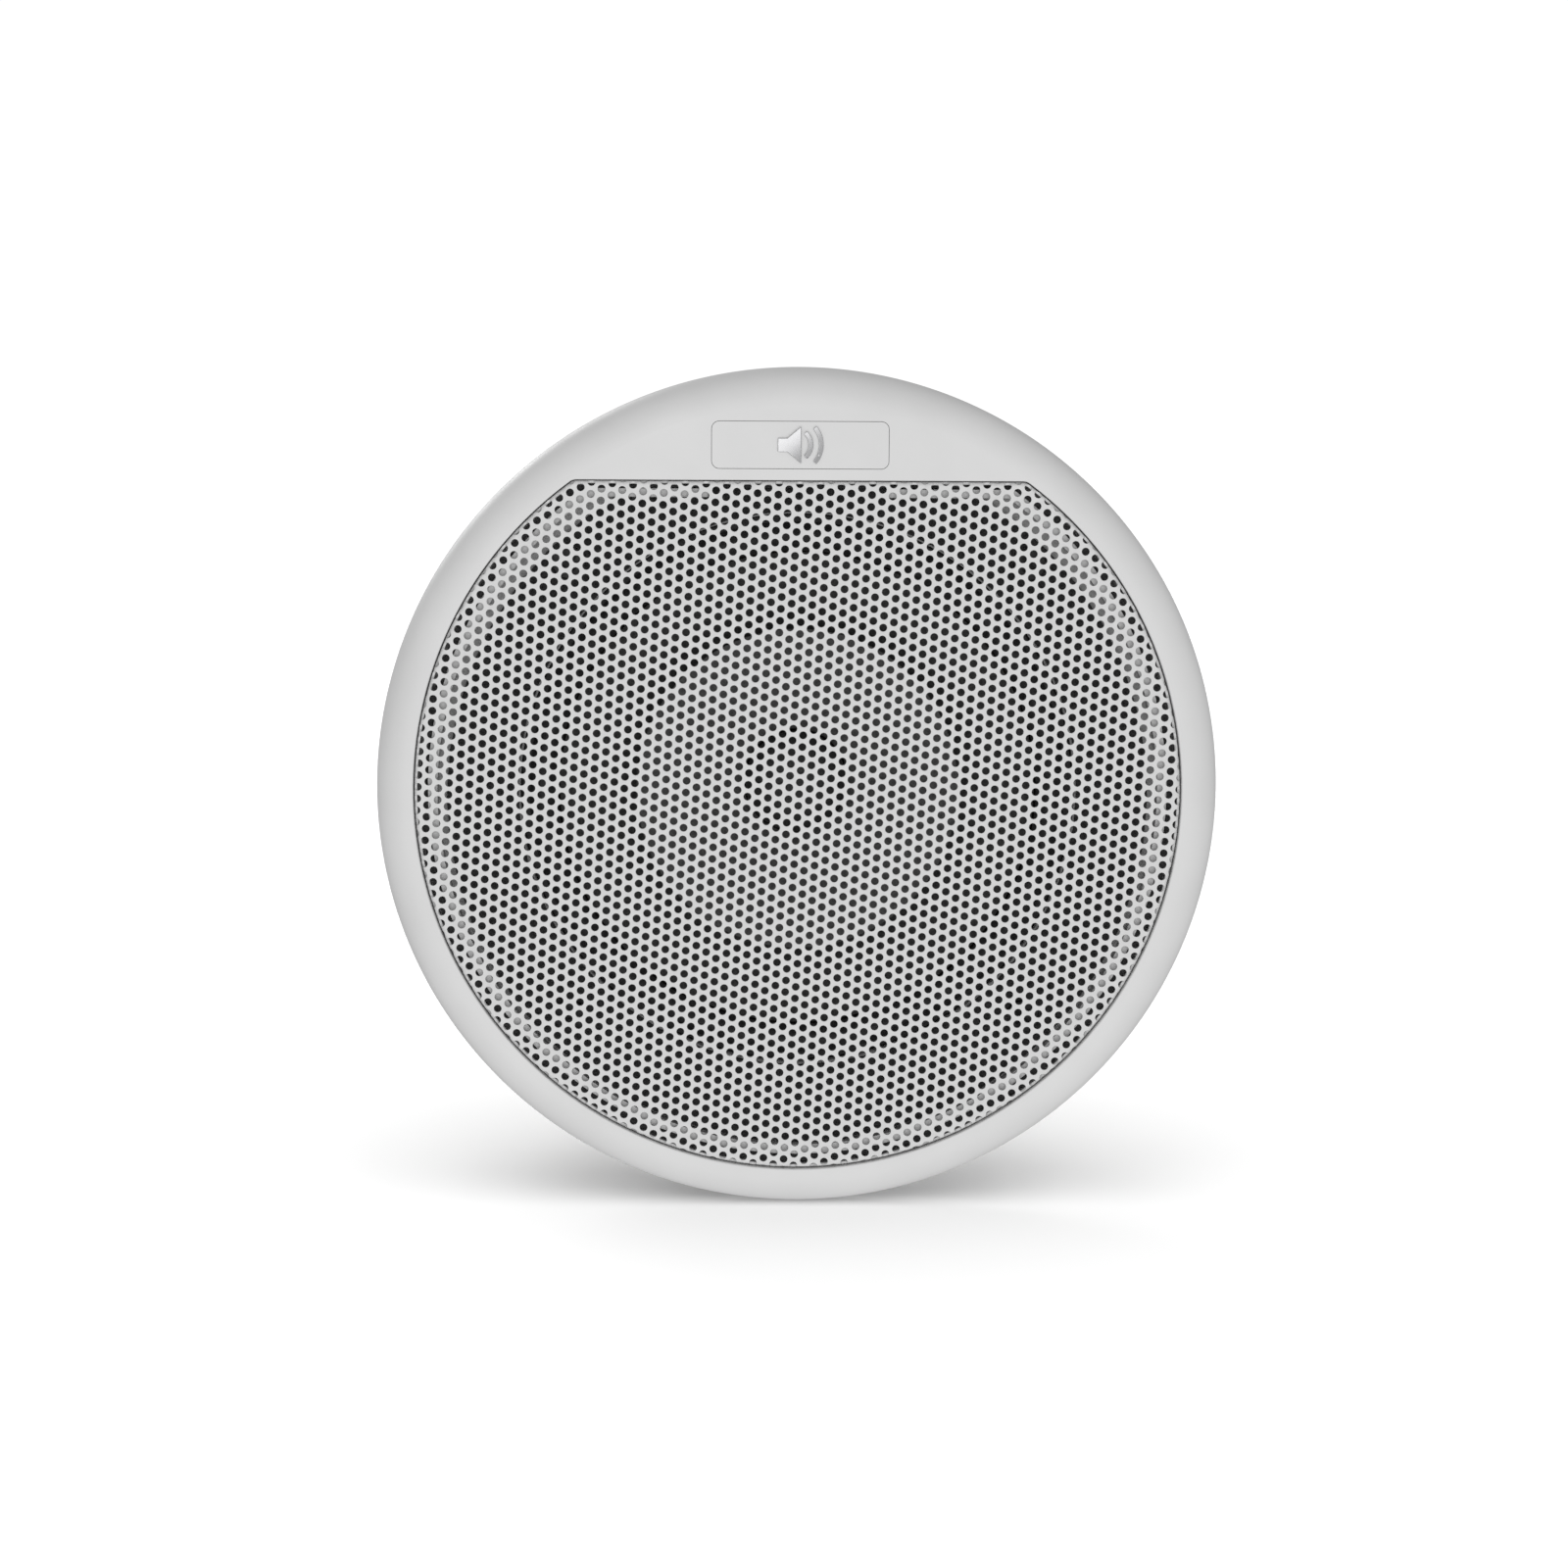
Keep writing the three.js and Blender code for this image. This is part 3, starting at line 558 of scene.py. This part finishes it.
def powder(name, colour, rough, peel=0.9, depth=0.012):
    """Powder coat: orange peel and a faint speckle."""
    look = Look(name, colour, rough)
    look.stain(look.noise(1.6, 5, 0.6), 0.3, 0.72, tint(colour, 0.95), tint(colour, 1.02))
    look.roughness(look.noise(2.4, 4), rough - 0.05, rough + 0.08)
    look.bump(look.noise(peel, 2), depth)
    look.bump(look.noise(0.25, 2), 0.0025)
    return look.material


white = moulded("white_abs", (0.80, 0.80, 0.80))
# The chassis: the bezel's white plastic darkened to 0.6 grey, painted shade for its parts that lie behind
# the grille
grey_abs = moulded("grey_abs", (0.6, 0.6, 0.6), 0.5, 0.6, 0.01)
coated = powder("powder_coat", (0.76, 0.76, 0.76), 0.42)
black_steel = powder("black_electrocoat", (0.02, 0.02, 0.021), 0.35, 1.4, 0.01)
zinc = plated("zinc_plate", (0.62, 0.63, 0.65), 0.32)
black_screw = powder("black_oxide", (0.018, 0.018, 0.019), 0.4, 0.6, 0.004)
relief = polished("polished_relief", (0.63, 0.63, 0.64), 0.2)
brass = plated("brass", (0.72, 0.53, 0.22), 0.28)
copper = plated("enamelled_copper", COPPER, 0.3)
coil_look = wound_coil()
nylon = moulded("glass_nylon", (0.74, 0.72, 0.65), 0.45, 0.5, 0.012)
sleeve = shrink_sleeve()
red = insulation("red_insulation", (0.45, 0.02, 0.018))
dark = insulation("black_insulation", (0.02, 0.02, 0.02))
pale = insulation("white_insulation", (0.7, 0.7, 0.67))
foam_look, pulp_look, rubber_look, cloth_look = foam(), pulp(), rubber(), cloth()
ferrite_look, core_look, tape_look = ferrite(), laminations(), tape()
ceramic_look, board_look = glazed(), board()
whizzer_look, cap_look = whizzer_paper(), cap_cloth()


def dress(obj, material, body, replaces):
    """A new piece's material, slot, the CAD nodes it stands for, and its body unless it is blended."""
    obj.data.materials.clear()
    obj.data.materials.append(material)
    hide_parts(*replaces)
    if body:
        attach(obj, body)
    return obj


def keep(node, material, bevel, segments=2):
    """A CAD node that stays, with softened edges and a finished material."""
    obj = NODES[node]
    obj.data.materials.clear()
    obj.data.materials.append(material)
    shade(obj.data, CAD_CREASE)
    if bevel:
        bevelled(obj, bevel, segments, CAD_CREASE)


# ---------------------------------------------------------------- bezel
def ellipse_y(r):
    """The front's height at a radius: a quarter ellipse from the flat down to the rim."""
    t = min(1.0, max(0.0, (r - OPEN_R) / (BEZEL_R - OPEN_R)))
    return RIM_Y - (RIM_Y - FRONT_Y) * math.sqrt(1 - t * t)


def opening(grow):
    return d_outline(OPEN_R + grow, OPEN_CHORD + grow, OPEN_CORNER + grow)


def make_bezel():
    lip = opening(LIP)
    lip_r = OPEN_R + LIP
    rows = [[(x, WALL_END_Y, z) for x, z in opening(grow)] for grow in (1.5, 0)]
    for i in range(5):
        a = i / 4 * math.pi / 2
        grow = LIP * (1 - math.cos(a))
        y = FRONT_Y + LIP * (1 - math.sin(a))
        rows.append([(x, y, z) for x, z in opening(grow)])
    wall = loft("wall", rows)

    on_circle = [p for p in lip if abs(math.hypot(*p) - lip_r) < 1e-6]
    angles = sorted(math.atan2(z, x) % (2 * math.pi) for x, z in on_circle)
    right = max(a for a in angles if a < math.radians(90))
    left = min(a for a in angles if a > math.radians(90))
    top_steps = 110
    top = [right + (left - right) * i / top_steps for i in range(1, top_steps)]
    angles = sorted(angles + top)
    profile = []
    for i in range(19):
        a = i / 18 * math.pi / 2
        r = OPEN_R + (BEZEL_R - OPEN_R) * math.sin(a)
        if r > lip_r + 0.05:
            profile.append((r, ellipse_y(r)))
    profile = [(lip_r, FRONT_Y)] + profile
    profile += [(BEZEL_R, -0.35), (BEZEL_R - 0.1, -0.1), (BEZEL_R - 0.35, 0), (104.6, 0), (104.6, -3.4),
                (100.4, FRONT_BACK_Y), (lip_r, FRONT_BACK_Y)]
    shell = loft("shell", [[(r * math.cos(a), y, r * math.sin(a)) for a in angles] for r, y in profile])

    chord = [p for p in lip if abs(math.hypot(*p) - lip_r) >= 1e-6]
    ends = [(lip_r * math.cos(a), lip_r * math.sin(a)) for a in (right, *top, left)]
    corner_right = sorted((p for p in chord if p[0] > 0), key=lambda p: -p[0])
    corner_left = sorted((p for p in chord if p[0] <= 0), key=lambda p: -p[0])
    region = ends + (corner_right + corner_left)[::-1]
    hole = [(x, z + BADGE_Z) for x, z in rounded(BADGE_W, BADGE_H, BADGE_CORNER, POCKET_GAP + POCKET_LIP)]
    verts, faces = flat_fill(region, [hole])
    front = mesh_object("front", [(x, FRONT_Y, z) for x, z in verts], faces)
    verts, faces = flat_fill(region)
    back = mesh_object("back", [(x, FRONT_BACK_Y, z) for x, z in verts], faces)
    rows = []
    for i in range(4):
        a = i / 3 * math.pi / 2
        grow = POCKET_GAP + POCKET_LIP * (1 - math.sin(a))
        rows.append([(x, FRONT_Y + POCKET_LIP * (1 - math.cos(a)), z + BADGE_Z)
                     for x, z in rounded(BADGE_W, BADGE_H, BADGE_CORNER, grow)])
    rows.append([(x, POCKET_FLOOR_Y, z) for x, _, z in rows[-1]])
    pocket = loft("pocket", rows, caps=(False, True))
    obj = joined("bezel_shell", [wall, shell, front, back, pocket], 0.004)
    weighted(dress(obj, white, "root", ["bezel"]))


def make_badge():
    plate = slab("badge_face", lambda g: [(x, z + BADGE_Z) for x, z in
                                          rounded(BADGE_W, BADGE_H, BADGE_CORNER, g)],
                 FRONT_Y, FRONT_Y + BADGE_THICK, BADGE_EDGE)
    weighted(dress(plate, white, "root", ["badge_plate"]))
    front, back = FRONT_Y - 0.75, FRONT_Y - 0.01
    crown, half_width = 0.28, 6  # how far the relief falls at half_width from its middle
    cell = 0.4  # of the mesh on its face
    wave_x, band = -1.4, 1.1  # the waves' centre, and how broad each is
    horn = [(-5.6, -1.7), (-3.3, -1.7), (0.2, -4.6), (0.2, 4.6), (-3.3, 1.7), (-5.6, 1.7)]

    def wave(r, half):
        return arc(wave_x, 0, r, -half, half, 28) + arc(wave_x, 0, r - band, half, -half, 28)

    parts = []
    for k, points in enumerate((horn, wave(4.6, 0.85), wave(7.2, 0.72))):
        edge = []
        for i, (x, z) in enumerate(points):
            nx, nz = points[(i + 1) % len(points)]
            steps = max(1, round(math.hypot(nx - x, nz - z) / cell))
            edge += [(x + (nx - x) * j / steps, z + (nz - z) * j / steps) for j in range(steps)]
        verts, faces = flat_fill(edge, grid=cell)
        n, m = len(verts), len(edge)
        top = [(x, front + crown * (x * x + z * z) / half_width ** 2, z + BADGE_Z) for x, z in verts]
        foot = [(x, back, z + BADGE_Z) for x, z in edge]
        sides = [(i, (i + 1) % m, n + (i + 1) % m, n + i) for i in range(m)]
        parts.append(mesh_object(f"part{k}", top + foot, [tuple(f) for f in faces] + sides))
    symbol = joined("badge_relief", parts, 0.0005)
    dress(symbol, relief, "root", ["badge_symbol"])
    bevelled(symbol, 0.22, 3, 40)


# ---------------------------------------------------------------- grille
def edge_map(points, radius, chord, corner):
    """For many points at once: the signed distance from a rounded D outline, the outward direction, and
    the nearest point of the D drawn through the corners' centres."""
    r0, c0 = radius - corner, chord - corner
    half = math.sqrt(r0 ** 2 - c0 ** 2)
    x, z = points[:, 0], points[:, 1]
    length = np.maximum(np.hypot(x, z), 1e-9)
    near = np.stack([x * r0 / length, z * r0 / length], 1)
    above = near[:, 1] > c0
    flat = (z > c0) & (np.abs(x) <= half)
    near[flat] = np.stack([x[flat], np.full(flat.sum(), c0)], 1)
    cornered = above & ~flat
    near[cornered] = np.stack([np.sign(x[cornered]) * half, np.full(cornered.sum(), c0)], 1)
    core = (length <= r0) & (z <= c0)
    offset = points - near
    distance = np.hypot(offset[:, 0], offset[:, 1])
    normal = offset / np.maximum(distance, 1e-9)[:, None]
    distance = np.where(core, -1e3, distance)
    return distance - corner, normal, near


def make_grille():
    """The perforated sheet, meshed flat with its holes and then bent back round its edge."""
    outer_r, outer_chord = OPEN_R - EDGE_GAP, OPEN_CHORD - EDGE_GAP
    bend_r, bend_chord, bend_corner = outer_r - ROLL, outer_chord - ROLL, OPEN_CORNER - EDGE_GAP - ROLL
    bend = (bend_r, bend_chord, bend_corner)
    quarter = ROLL * math.pi / 2
    skirt = SKIRT_END_Y - SHEET_Y - ROLL
    end = quarter + skirt

    a = np.array([math.cos(ROW_ANGLE), math.sin(ROW_ANGLE)]) * PITCH
    b = np.array([math.cos(ROW_ANGLE + math.pi / 3), math.sin(ROW_ANGLE + math.pi / 3)]) * PITCH
    n = np.arange(-LATTICE, LATTICE + 1)
    i, j = np.meshgrid(n, n)
    centres = np.array(HOLE_ORIGIN) + i.reshape(-1, 1) * a + j.reshape(-1, 1) * b
    centres = centres[edge_map(centres, *bend)[0] < HOLE_REACH]
    count = len(centres)

    turn = np.arange(HOLE_SIDES) * 2 * math.pi / HOLE_SIDES
    circle = np.stack([np.cos(turn), np.sin(turn)], 1) * HOLE_R
    rings = (centres[:, None, :] + circle[None]).reshape(-1, 2)
    hole_of = np.repeat(np.arange(count), HOLE_SIDES)

    rows = []
    for grow in (0, quarter / 4, quarter / 2, quarter * 3 / 4, quarter, quarter + SKIRT_ROW, end):
        steps = BEND_STEPS if grow < end else END_STEPS
        rows.append(np.array(d_outline(bend_r + grow, bend_chord + grow, bend_corner + grow, steps, 6, 90)))
    border = len(rows[-1])
    extra = np.concatenate(rows[:-1])
    lattice = np.linalg.solve(np.stack([a, b], 1), (extra - np.array(HOLE_ORIGIN)).T).T
    base = np.floor(lattice)
    nearest = np.full(len(extra), 9.0)
    for di in (0, 1):
        for dj in (0, 1):
            c = np.array(HOLE_ORIGIN) + (base[:, :1] + di) * a + (base[:, 1:] + dj) * b
            used = edge_map(c, *bend)[0] < HOLE_REACH
            d = np.hypot(*(extra - c).T)
            nearest = np.where(used, np.minimum(nearest, d), nearest)
    extra = extra[nearest > HOLE_R + HOLE_CLEAR]
    points = np.concatenate([rings, rows[-1], extra])
    ids = np.concatenate([hole_of, np.full(border + len(extra), -1)])
    first_border = len(rings)

    _, _, faces, _, _, _ = delaunay_2d_cdt([Vector(p) for p in points], [], [], 0, 1e-6)
    tri = np.array(faces)
    o = ids[tri]
    tri = tri[~((o[:, 0] >= 0) & (o[:, 0] == o[:, 1]) & (o[:, 1] == o[:, 2]))]
    p0, p1, p2 = (points[tri[:, k]] for k in range(3))
    area = (p1[:, 0] - p0[:, 0]) * (p2[:, 1] - p0[:, 1]) - (p1[:, 1] - p0[:, 1]) * (p2[:, 0] - p0[:, 0])
    tri = tri[np.abs(area) > 1e-6]
    area = area[np.abs(area) > 1e-6]
    tri[area < 0] = tri[area < 0][:, ::-1]

    s, out, near = edge_map(points, *bend)
    angle = np.clip(s / ROLL, 0, math.pi / 2)
    bent = s > 0
    along = np.where(bent, ROLL * np.sin(angle), 0)
    deep = np.where(bent, ROLL * (1 - np.cos(angle)) + np.maximum(0, s - quarter), 0)
    flat = np.where(bent[:, None], near + out * (bend_corner + along)[:, None], points)
    front = np.stack([flat[:, 0], SHEET_Y + deep, flat[:, 1]], 1)
    sine = np.where(bent, np.sin(angle), 0)
    normal = np.stack([out[:, 0] * sine, -np.cos(angle), out[:, 1] * sine], 1)
    normal[~bent] = (0, -1, 0)
    back = front - normal * SHEET
    total = len(points)
    verts = np.concatenate([front, back])

    start = np.arange(count)[:, None] * HOLE_SIDES
    k = np.arange(HOLE_SIDES)
    near_k, far_k = start + k, start + (k + 1) % HOLE_SIDES
    walls = np.stack([near_k, far_k, far_k + total, near_k + total], -1).reshape(-1, 4)
    e = first_border + np.arange(border)
    f = first_border + (np.arange(border) + 1) % border
    rim = np.stack([f, e, e + total, f + total], -1)
    faces = [tuple(t) for t in tri] + [tuple(t) for t in tri[:, ::-1] + total]
    faces += [tuple(q) for q in walls] + [tuple(q) for q in rim]
    mesh = bpy.data.meshes.new("perforated_grille")
    mesh.from_pydata((verts * MM).tolist(), [], faces)

    inward = np.zeros((total, 3))
    radial = -(points[:len(rings)] - centres[hole_of]) / HOLE_R
    tangent = np.stack([out[:, 0] * np.cos(angle), sine, out[:, 1] * np.cos(angle)], 1)
    spread = radial[:, 0] * out[:len(rings), 0] + radial[:, 1] * out[:len(rings), 1]
    inward[:len(rings)] = np.stack([radial[:, 0], np.zeros(len(rings)), radial[:, 1]], 1)
    on_bend = bent[:len(rings)]
    sideways = radial - spread[:, None] * out[:len(rings)]
    turned = np.stack([sideways[:, 0], np.zeros(len(rings)), sideways[:, 1]], 1)
    turned += spread[:, None] * tangent[:len(rings)]
    inward[:len(rings)] = np.where(on_bend[:, None], turned, inward[:len(rings)])
    rim_normal = np.tile((0.0, 1.0, 0.0), (total, 1))
    parts = [normal[tri].reshape(-1, 3), -normal[tri[:, ::-1]].reshape(-1, 3),
             inward[walls % total].reshape(-1, 3), rim_normal[rim % total].reshape(-1, 3)]
    mesh.polygons.foreach_set("use_smooth", [True] * len(mesh.polygons))
    mesh.update()
    if len(mesh.loops) == sum(len(p) for p in parts):
        mesh.normals_split_custom_set(np.concatenate(parts).tolist())
    obj = bpy.data.objects.new("perforated_grille", mesh)
    bpy.context.scene.collection.objects.link(obj)
    print("grille:", count, "holes,", 2 * len(tri) + 2 * len(walls) + 2 * border, "triangles")
    dress(obj, coated, "grille", ["grille"])


def make_driver():
    roll = [(60.9 + 7.4 * t, -1.1 - 3.3 * math.sin(math.pi * t)) for t in np.linspace(0, 1, 17)]
    under = [(r - 0.35 * math.cos(math.pi * (1 - i / 16)), y + 0.7) for i, (r, y) in enumerate(roll)]
    profile = roll + [(68.9, -1.1), (70, -1.1), (70, 0.5), (68.8, 0.5)] + under[::-1]
    surround = lathe("surround_roll", profile, 160)
    dress(surround, rubber_look, None, ["surround"])
    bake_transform(surround)

    front = []
    for t in np.linspace(0, 1, 65):
        flat = t < 0.08 or t > 0.8
        ripple = 0 if flat else 1.1 * math.sin((t - 0.08) / 0.72 * 10 * math.pi)
        front.append((13.9 + 32.9 * t, 26 + ripple))
    spider = lathe("spider_corrugated", front + [(r, y + 0.5) for r, y in front[::-1]], 120)
    dress(spider, cloth_look, None, ["spider"])
    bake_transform(spider)

    def skin(name, profile, thick, segments=160):
        return lathe(name, profile + [(r, y + thick) for r, y in profile[::-1]], segments)

    cone = [(60.5 - 46.9 * t, -0.4 + 22 * t ** 0.9 + 0.12 * math.sin(t * 40) * (t > 0.1) * (t < 0.5))
            for t in np.linspace(0, 1, 41)]
    dress(skin("cone_body", cone, 0.8), pulp_look, "diaphragm", ["cone"])
    whizzer = [(41 - 27.4 * t, -1 + 17.5 * t ** 1.35) for t in np.linspace(0, 1, 25)]
    dress(skin("whizzer", whizzer, 0.6), whizzer_look, "diaphragm", ["whizzer_cone"])
    cap = [(12.8 * t, 8 + 5.2 * (1 - math.sqrt(1 - (0.92 * t) ** 2)) / 0.61) for t in np.linspace(0, 1, 17)]
    dress(skin("dust_dome", cap, 0.5, 72), cap_look, "diaphragm", ["dust_cap"])


def smooth_path(points, steps):
    """Catmull-Rom through the points."""
    p = [Vector(q) for q in points]
    p = [p[0] * 2 - p[1]] + p + [p[-1] * 2 - p[-2]]
    out = []
    for a, b, c, d in zip(p, p[1:], p[2:], p[3:]):
        for i in range(steps):
            t = i / steps
            out.append(0.5 * (2 * b + (c - a) * t + (2 * a - 5 * b + 4 * c - d) * t ** 2
                              + (3 * b - a - 3 * c + d) * t ** 3))
    return out + [p[-2]]


def make_tinsel(number, x):
    """A braided lead from the cone's back to the tag strip, slack enough to follow the cone."""
    path = [(x, 17.6, 33), (x, 21.5, 37), (x, 23, 41), (x, 22, 46), (x, 18, 50), (x, 14.4, 53.6)]
    points = smooth_path(path, 12)
    rows = []
    for i, p in enumerate(points):
        ahead = (points[min(i + 1, len(points) - 1)] - points[max(i - 1, 0)]).normalized()
        side = Vector((1, 0, 0))
        up = ahead.cross(side).normalized()
        ring = []
        for k in range(12):
            a = k * math.pi / 6 + i * 0.35
            r = 0.5 + 0.07 * math.cos(k * math.pi / 2)
            ring.append(tuple(p + side * (r * math.cos(a)) + up * (r * math.sin(a))))
        rows.append(ring)
    lead = loft(f"tinsel_{number}", rows, caps=(True, True))
    dress(lead, copper, None, [f"tinsel_lead_{number}"])
    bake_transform(lead)


# ---------------------------------------------------------------- everything else from the CAD
def dress_rest():
    """Each CAD node that stays, its material, and how wide its edges are bevelled."""
    # The chassis gets the white plastic darkened to grey: painted shade
    for node, material, bevel in (
            ("chassis", grey_abs, 0.3), ("wall_gasket", foam_look, 0.2), ("baffle_foam", foam_look, 0.2),
            ("edge_seal", foam_look, 0.15), ("driver_gasket", foam_look, 0.15),
            ("basket", black_steel, 0.2), ("voice_coil", coil_look, 0), ("top_plate", zinc, 0.4),
            ("equipment_bracket", zinc, 0.2), ("bracket_bolt", zinc, 0.3),
            ("transformer_core", core_look, 0.2), ("transformer_strap", zinc, 0.25),
            ("strap_screw", zinc, 0.25), ("terminal_block", ceramic_look, 0.35),
            ("capacitor", sleeve, 0.3), ("tag_strip", board_look, 0.1),
            ("voice_wire_1", red, 0), ("voice_wire_2", dark, 0),
            ("line_wire_1", pale, 0), ("line_wire_2", dark, 0)):
        keep(node, material, bevel)
    for node, material, bevel in (
            ("magnet", ferrite_look, 0.5), ("yoke", zinc, 0.5), ("transformer_coil", tape_look, 0.6)):
        keep(node, material, bevel, 3)
    for node, material, bevel in (
            ("driver_screw", zinc, 0.2), ("terminal_screw", brass, 0.2), ("clamp_screw", black_screw, 0.2),
            ("screw_clip", black_steel, 0.1), ("clamp_nut", brass, 0.2), ("clamp_leg", nylon, 0.4)):
        for i in range(1, 5):
            keep(f"{node}_{i}", material, bevel)


# ---------------------------------------------------------------- stage
def make_stage():
    """A pale floor under the rim with a light of its own, and a white world."""
    look = Look("pale_floor", (0.62, 0.62, 0.62), 0.9)
    look.shader.inputs["Specular IOR Level"].default_value = 0.0
    z = cad_box[0][2] / MM
    rows = [[(r * math.cos(a), r * math.sin(a) + 40, z) for a in np.linspace(0, 2 * math.pi, 64, False)]
            for r in (60, 300, 1500, 6000)]
    floor = loft("floor", rows, caps=(True, False))
    floor.data.materials.append(look.material)
    floor.visible_diffuse = False
    floor.visible_glossy = False
    floor.visible_shadow = False
    on_floor = bpy.data.collections.new("floor_only")
    on_floor.objects.link(floor)
    overhead = sun_light("floor_light", (0, -0.35, 1), 120, 4.4)
    overhead.light_linking.receiver_collection = on_floor

    world = bpy.data.worlds.new("studio")
    bpy.context.scene.world = world
    world.use_nodes = True
    nodes, links = world.node_tree.nodes, world.node_tree.links
    back = nodes["Background"]
    back.inputs["Color"].default_value = (1, 1, 1, 1)
    back.inputs["Strength"].default_value = WORLD_LIGHT
    seen = nodes.new("ShaderNodeBackground")
    seen.inputs["Color"].default_value = (1, 1, 1, 1)
    seen.inputs["Strength"].default_value = WORLD_SEEN
    mix = nodes.new("ShaderNodeMixShader")
    ray = nodes.new("ShaderNodeLightPath")
    links.new(ray.outputs["Is Camera Ray"], mix.inputs[0])
    links.new(back.outputs[0], mix.inputs[1])
    links.new(seen.outputs[0], mix.inputs[2])
    links.new(mix.outputs[0], nodes["World Output"].inputs["Surface"])


def sun_light(name, direction, angle, strength):
    """Even light that comes from a direction, soft over an angle in degrees."""
    data = bpy.data.lights.new(name, "SUN")
    data.angle = math.radians(angle)
    data.energy = strength
    obj = bpy.data.objects.new(name, data)
    bpy.context.scene.collection.objects.link(obj)
    obj.rotation_euler = Vector(direction).to_track_quat("Z", "Y").to_euler()
    return obj


def area_light(name, place, target, size, power):
    """A round soft light, in metres and watts."""
    data = bpy.data.lights.new(name, "AREA")
    data.shape = "DISK"
    data.size = size
    data.energy = power
    obj = bpy.data.objects.new(name, data)
    bpy.context.scene.collection.objects.link(obj)
    obj.location = place
    obj.rotation_euler = (Vector(target) - Vector(place)).to_track_quat("-Z", "Y").to_euler()


def make_camera():
    data = bpy.data.cameras.new("camera")
    data.lens = CAMERA_LENS
    data.sensor_width = 36
    data.clip_start = 0.01
    obj = bpy.data.objects.new("camera", data)
    bpy.context.scene.collection.objects.link(obj)
    place, aim = Vector(CAMERA_PLACE), Vector(CAMERA_AIM)
    roll = Quaternion((0, 0, 1), CAMERA_ROLL)
    obj.location = place
    obj.rotation_euler = ((aim - place).to_track_quat("-Z", "Y") @ roll).to_euler()
    bpy.context.scene.camera = obj
    bpy.context.scene.view_settings.view_transform = "Standard"
    bpy.context.scene.view_settings.look = "None"


def reflection_card():
    """A grey studio card beside the camera, seen only in reflections, that shapes the badge's relief."""
    look = Look("card_grey", (0.0, 0.0, 0.0), 1.0)
    look.shader.inputs["Specular IOR Level"].default_value = 0.0
    look.shader.inputs["Emission Color"].default_value = (0.45, 0.45, 0.45, 1)
    look.shader.inputs["Emission Strength"].default_value = 1.0
    near, far, half = -58, 2200, 500
    lean = 622  # how far its near edge slants either way over half
    corners = [(near - lean, -half), (far, -half), (far, half), (near + lean, half)]
    card = loft("dark_card", [[(x, y, z) for x, z in corners] for y in (-900, -905)], caps=(True, True))
    card.data.materials.append(look.material)
    card.visible_camera = False
    card.visible_diffuse = False
    card.visible_shadow = False


make_camera()
make_stage()
reflection_card()
sun_light("front_light", (0.06, -1, -0.25), 80, 1.34)
area_light("rear_softbox", (-0.9, 1.3, 0.9), (0, 0.03, 0), 1.0, 9)

make_bezel()
make_badge()
make_grille()
make_driver()
make_tinsel(1, -5)
make_tinsel(2, 5)
dress_rest()
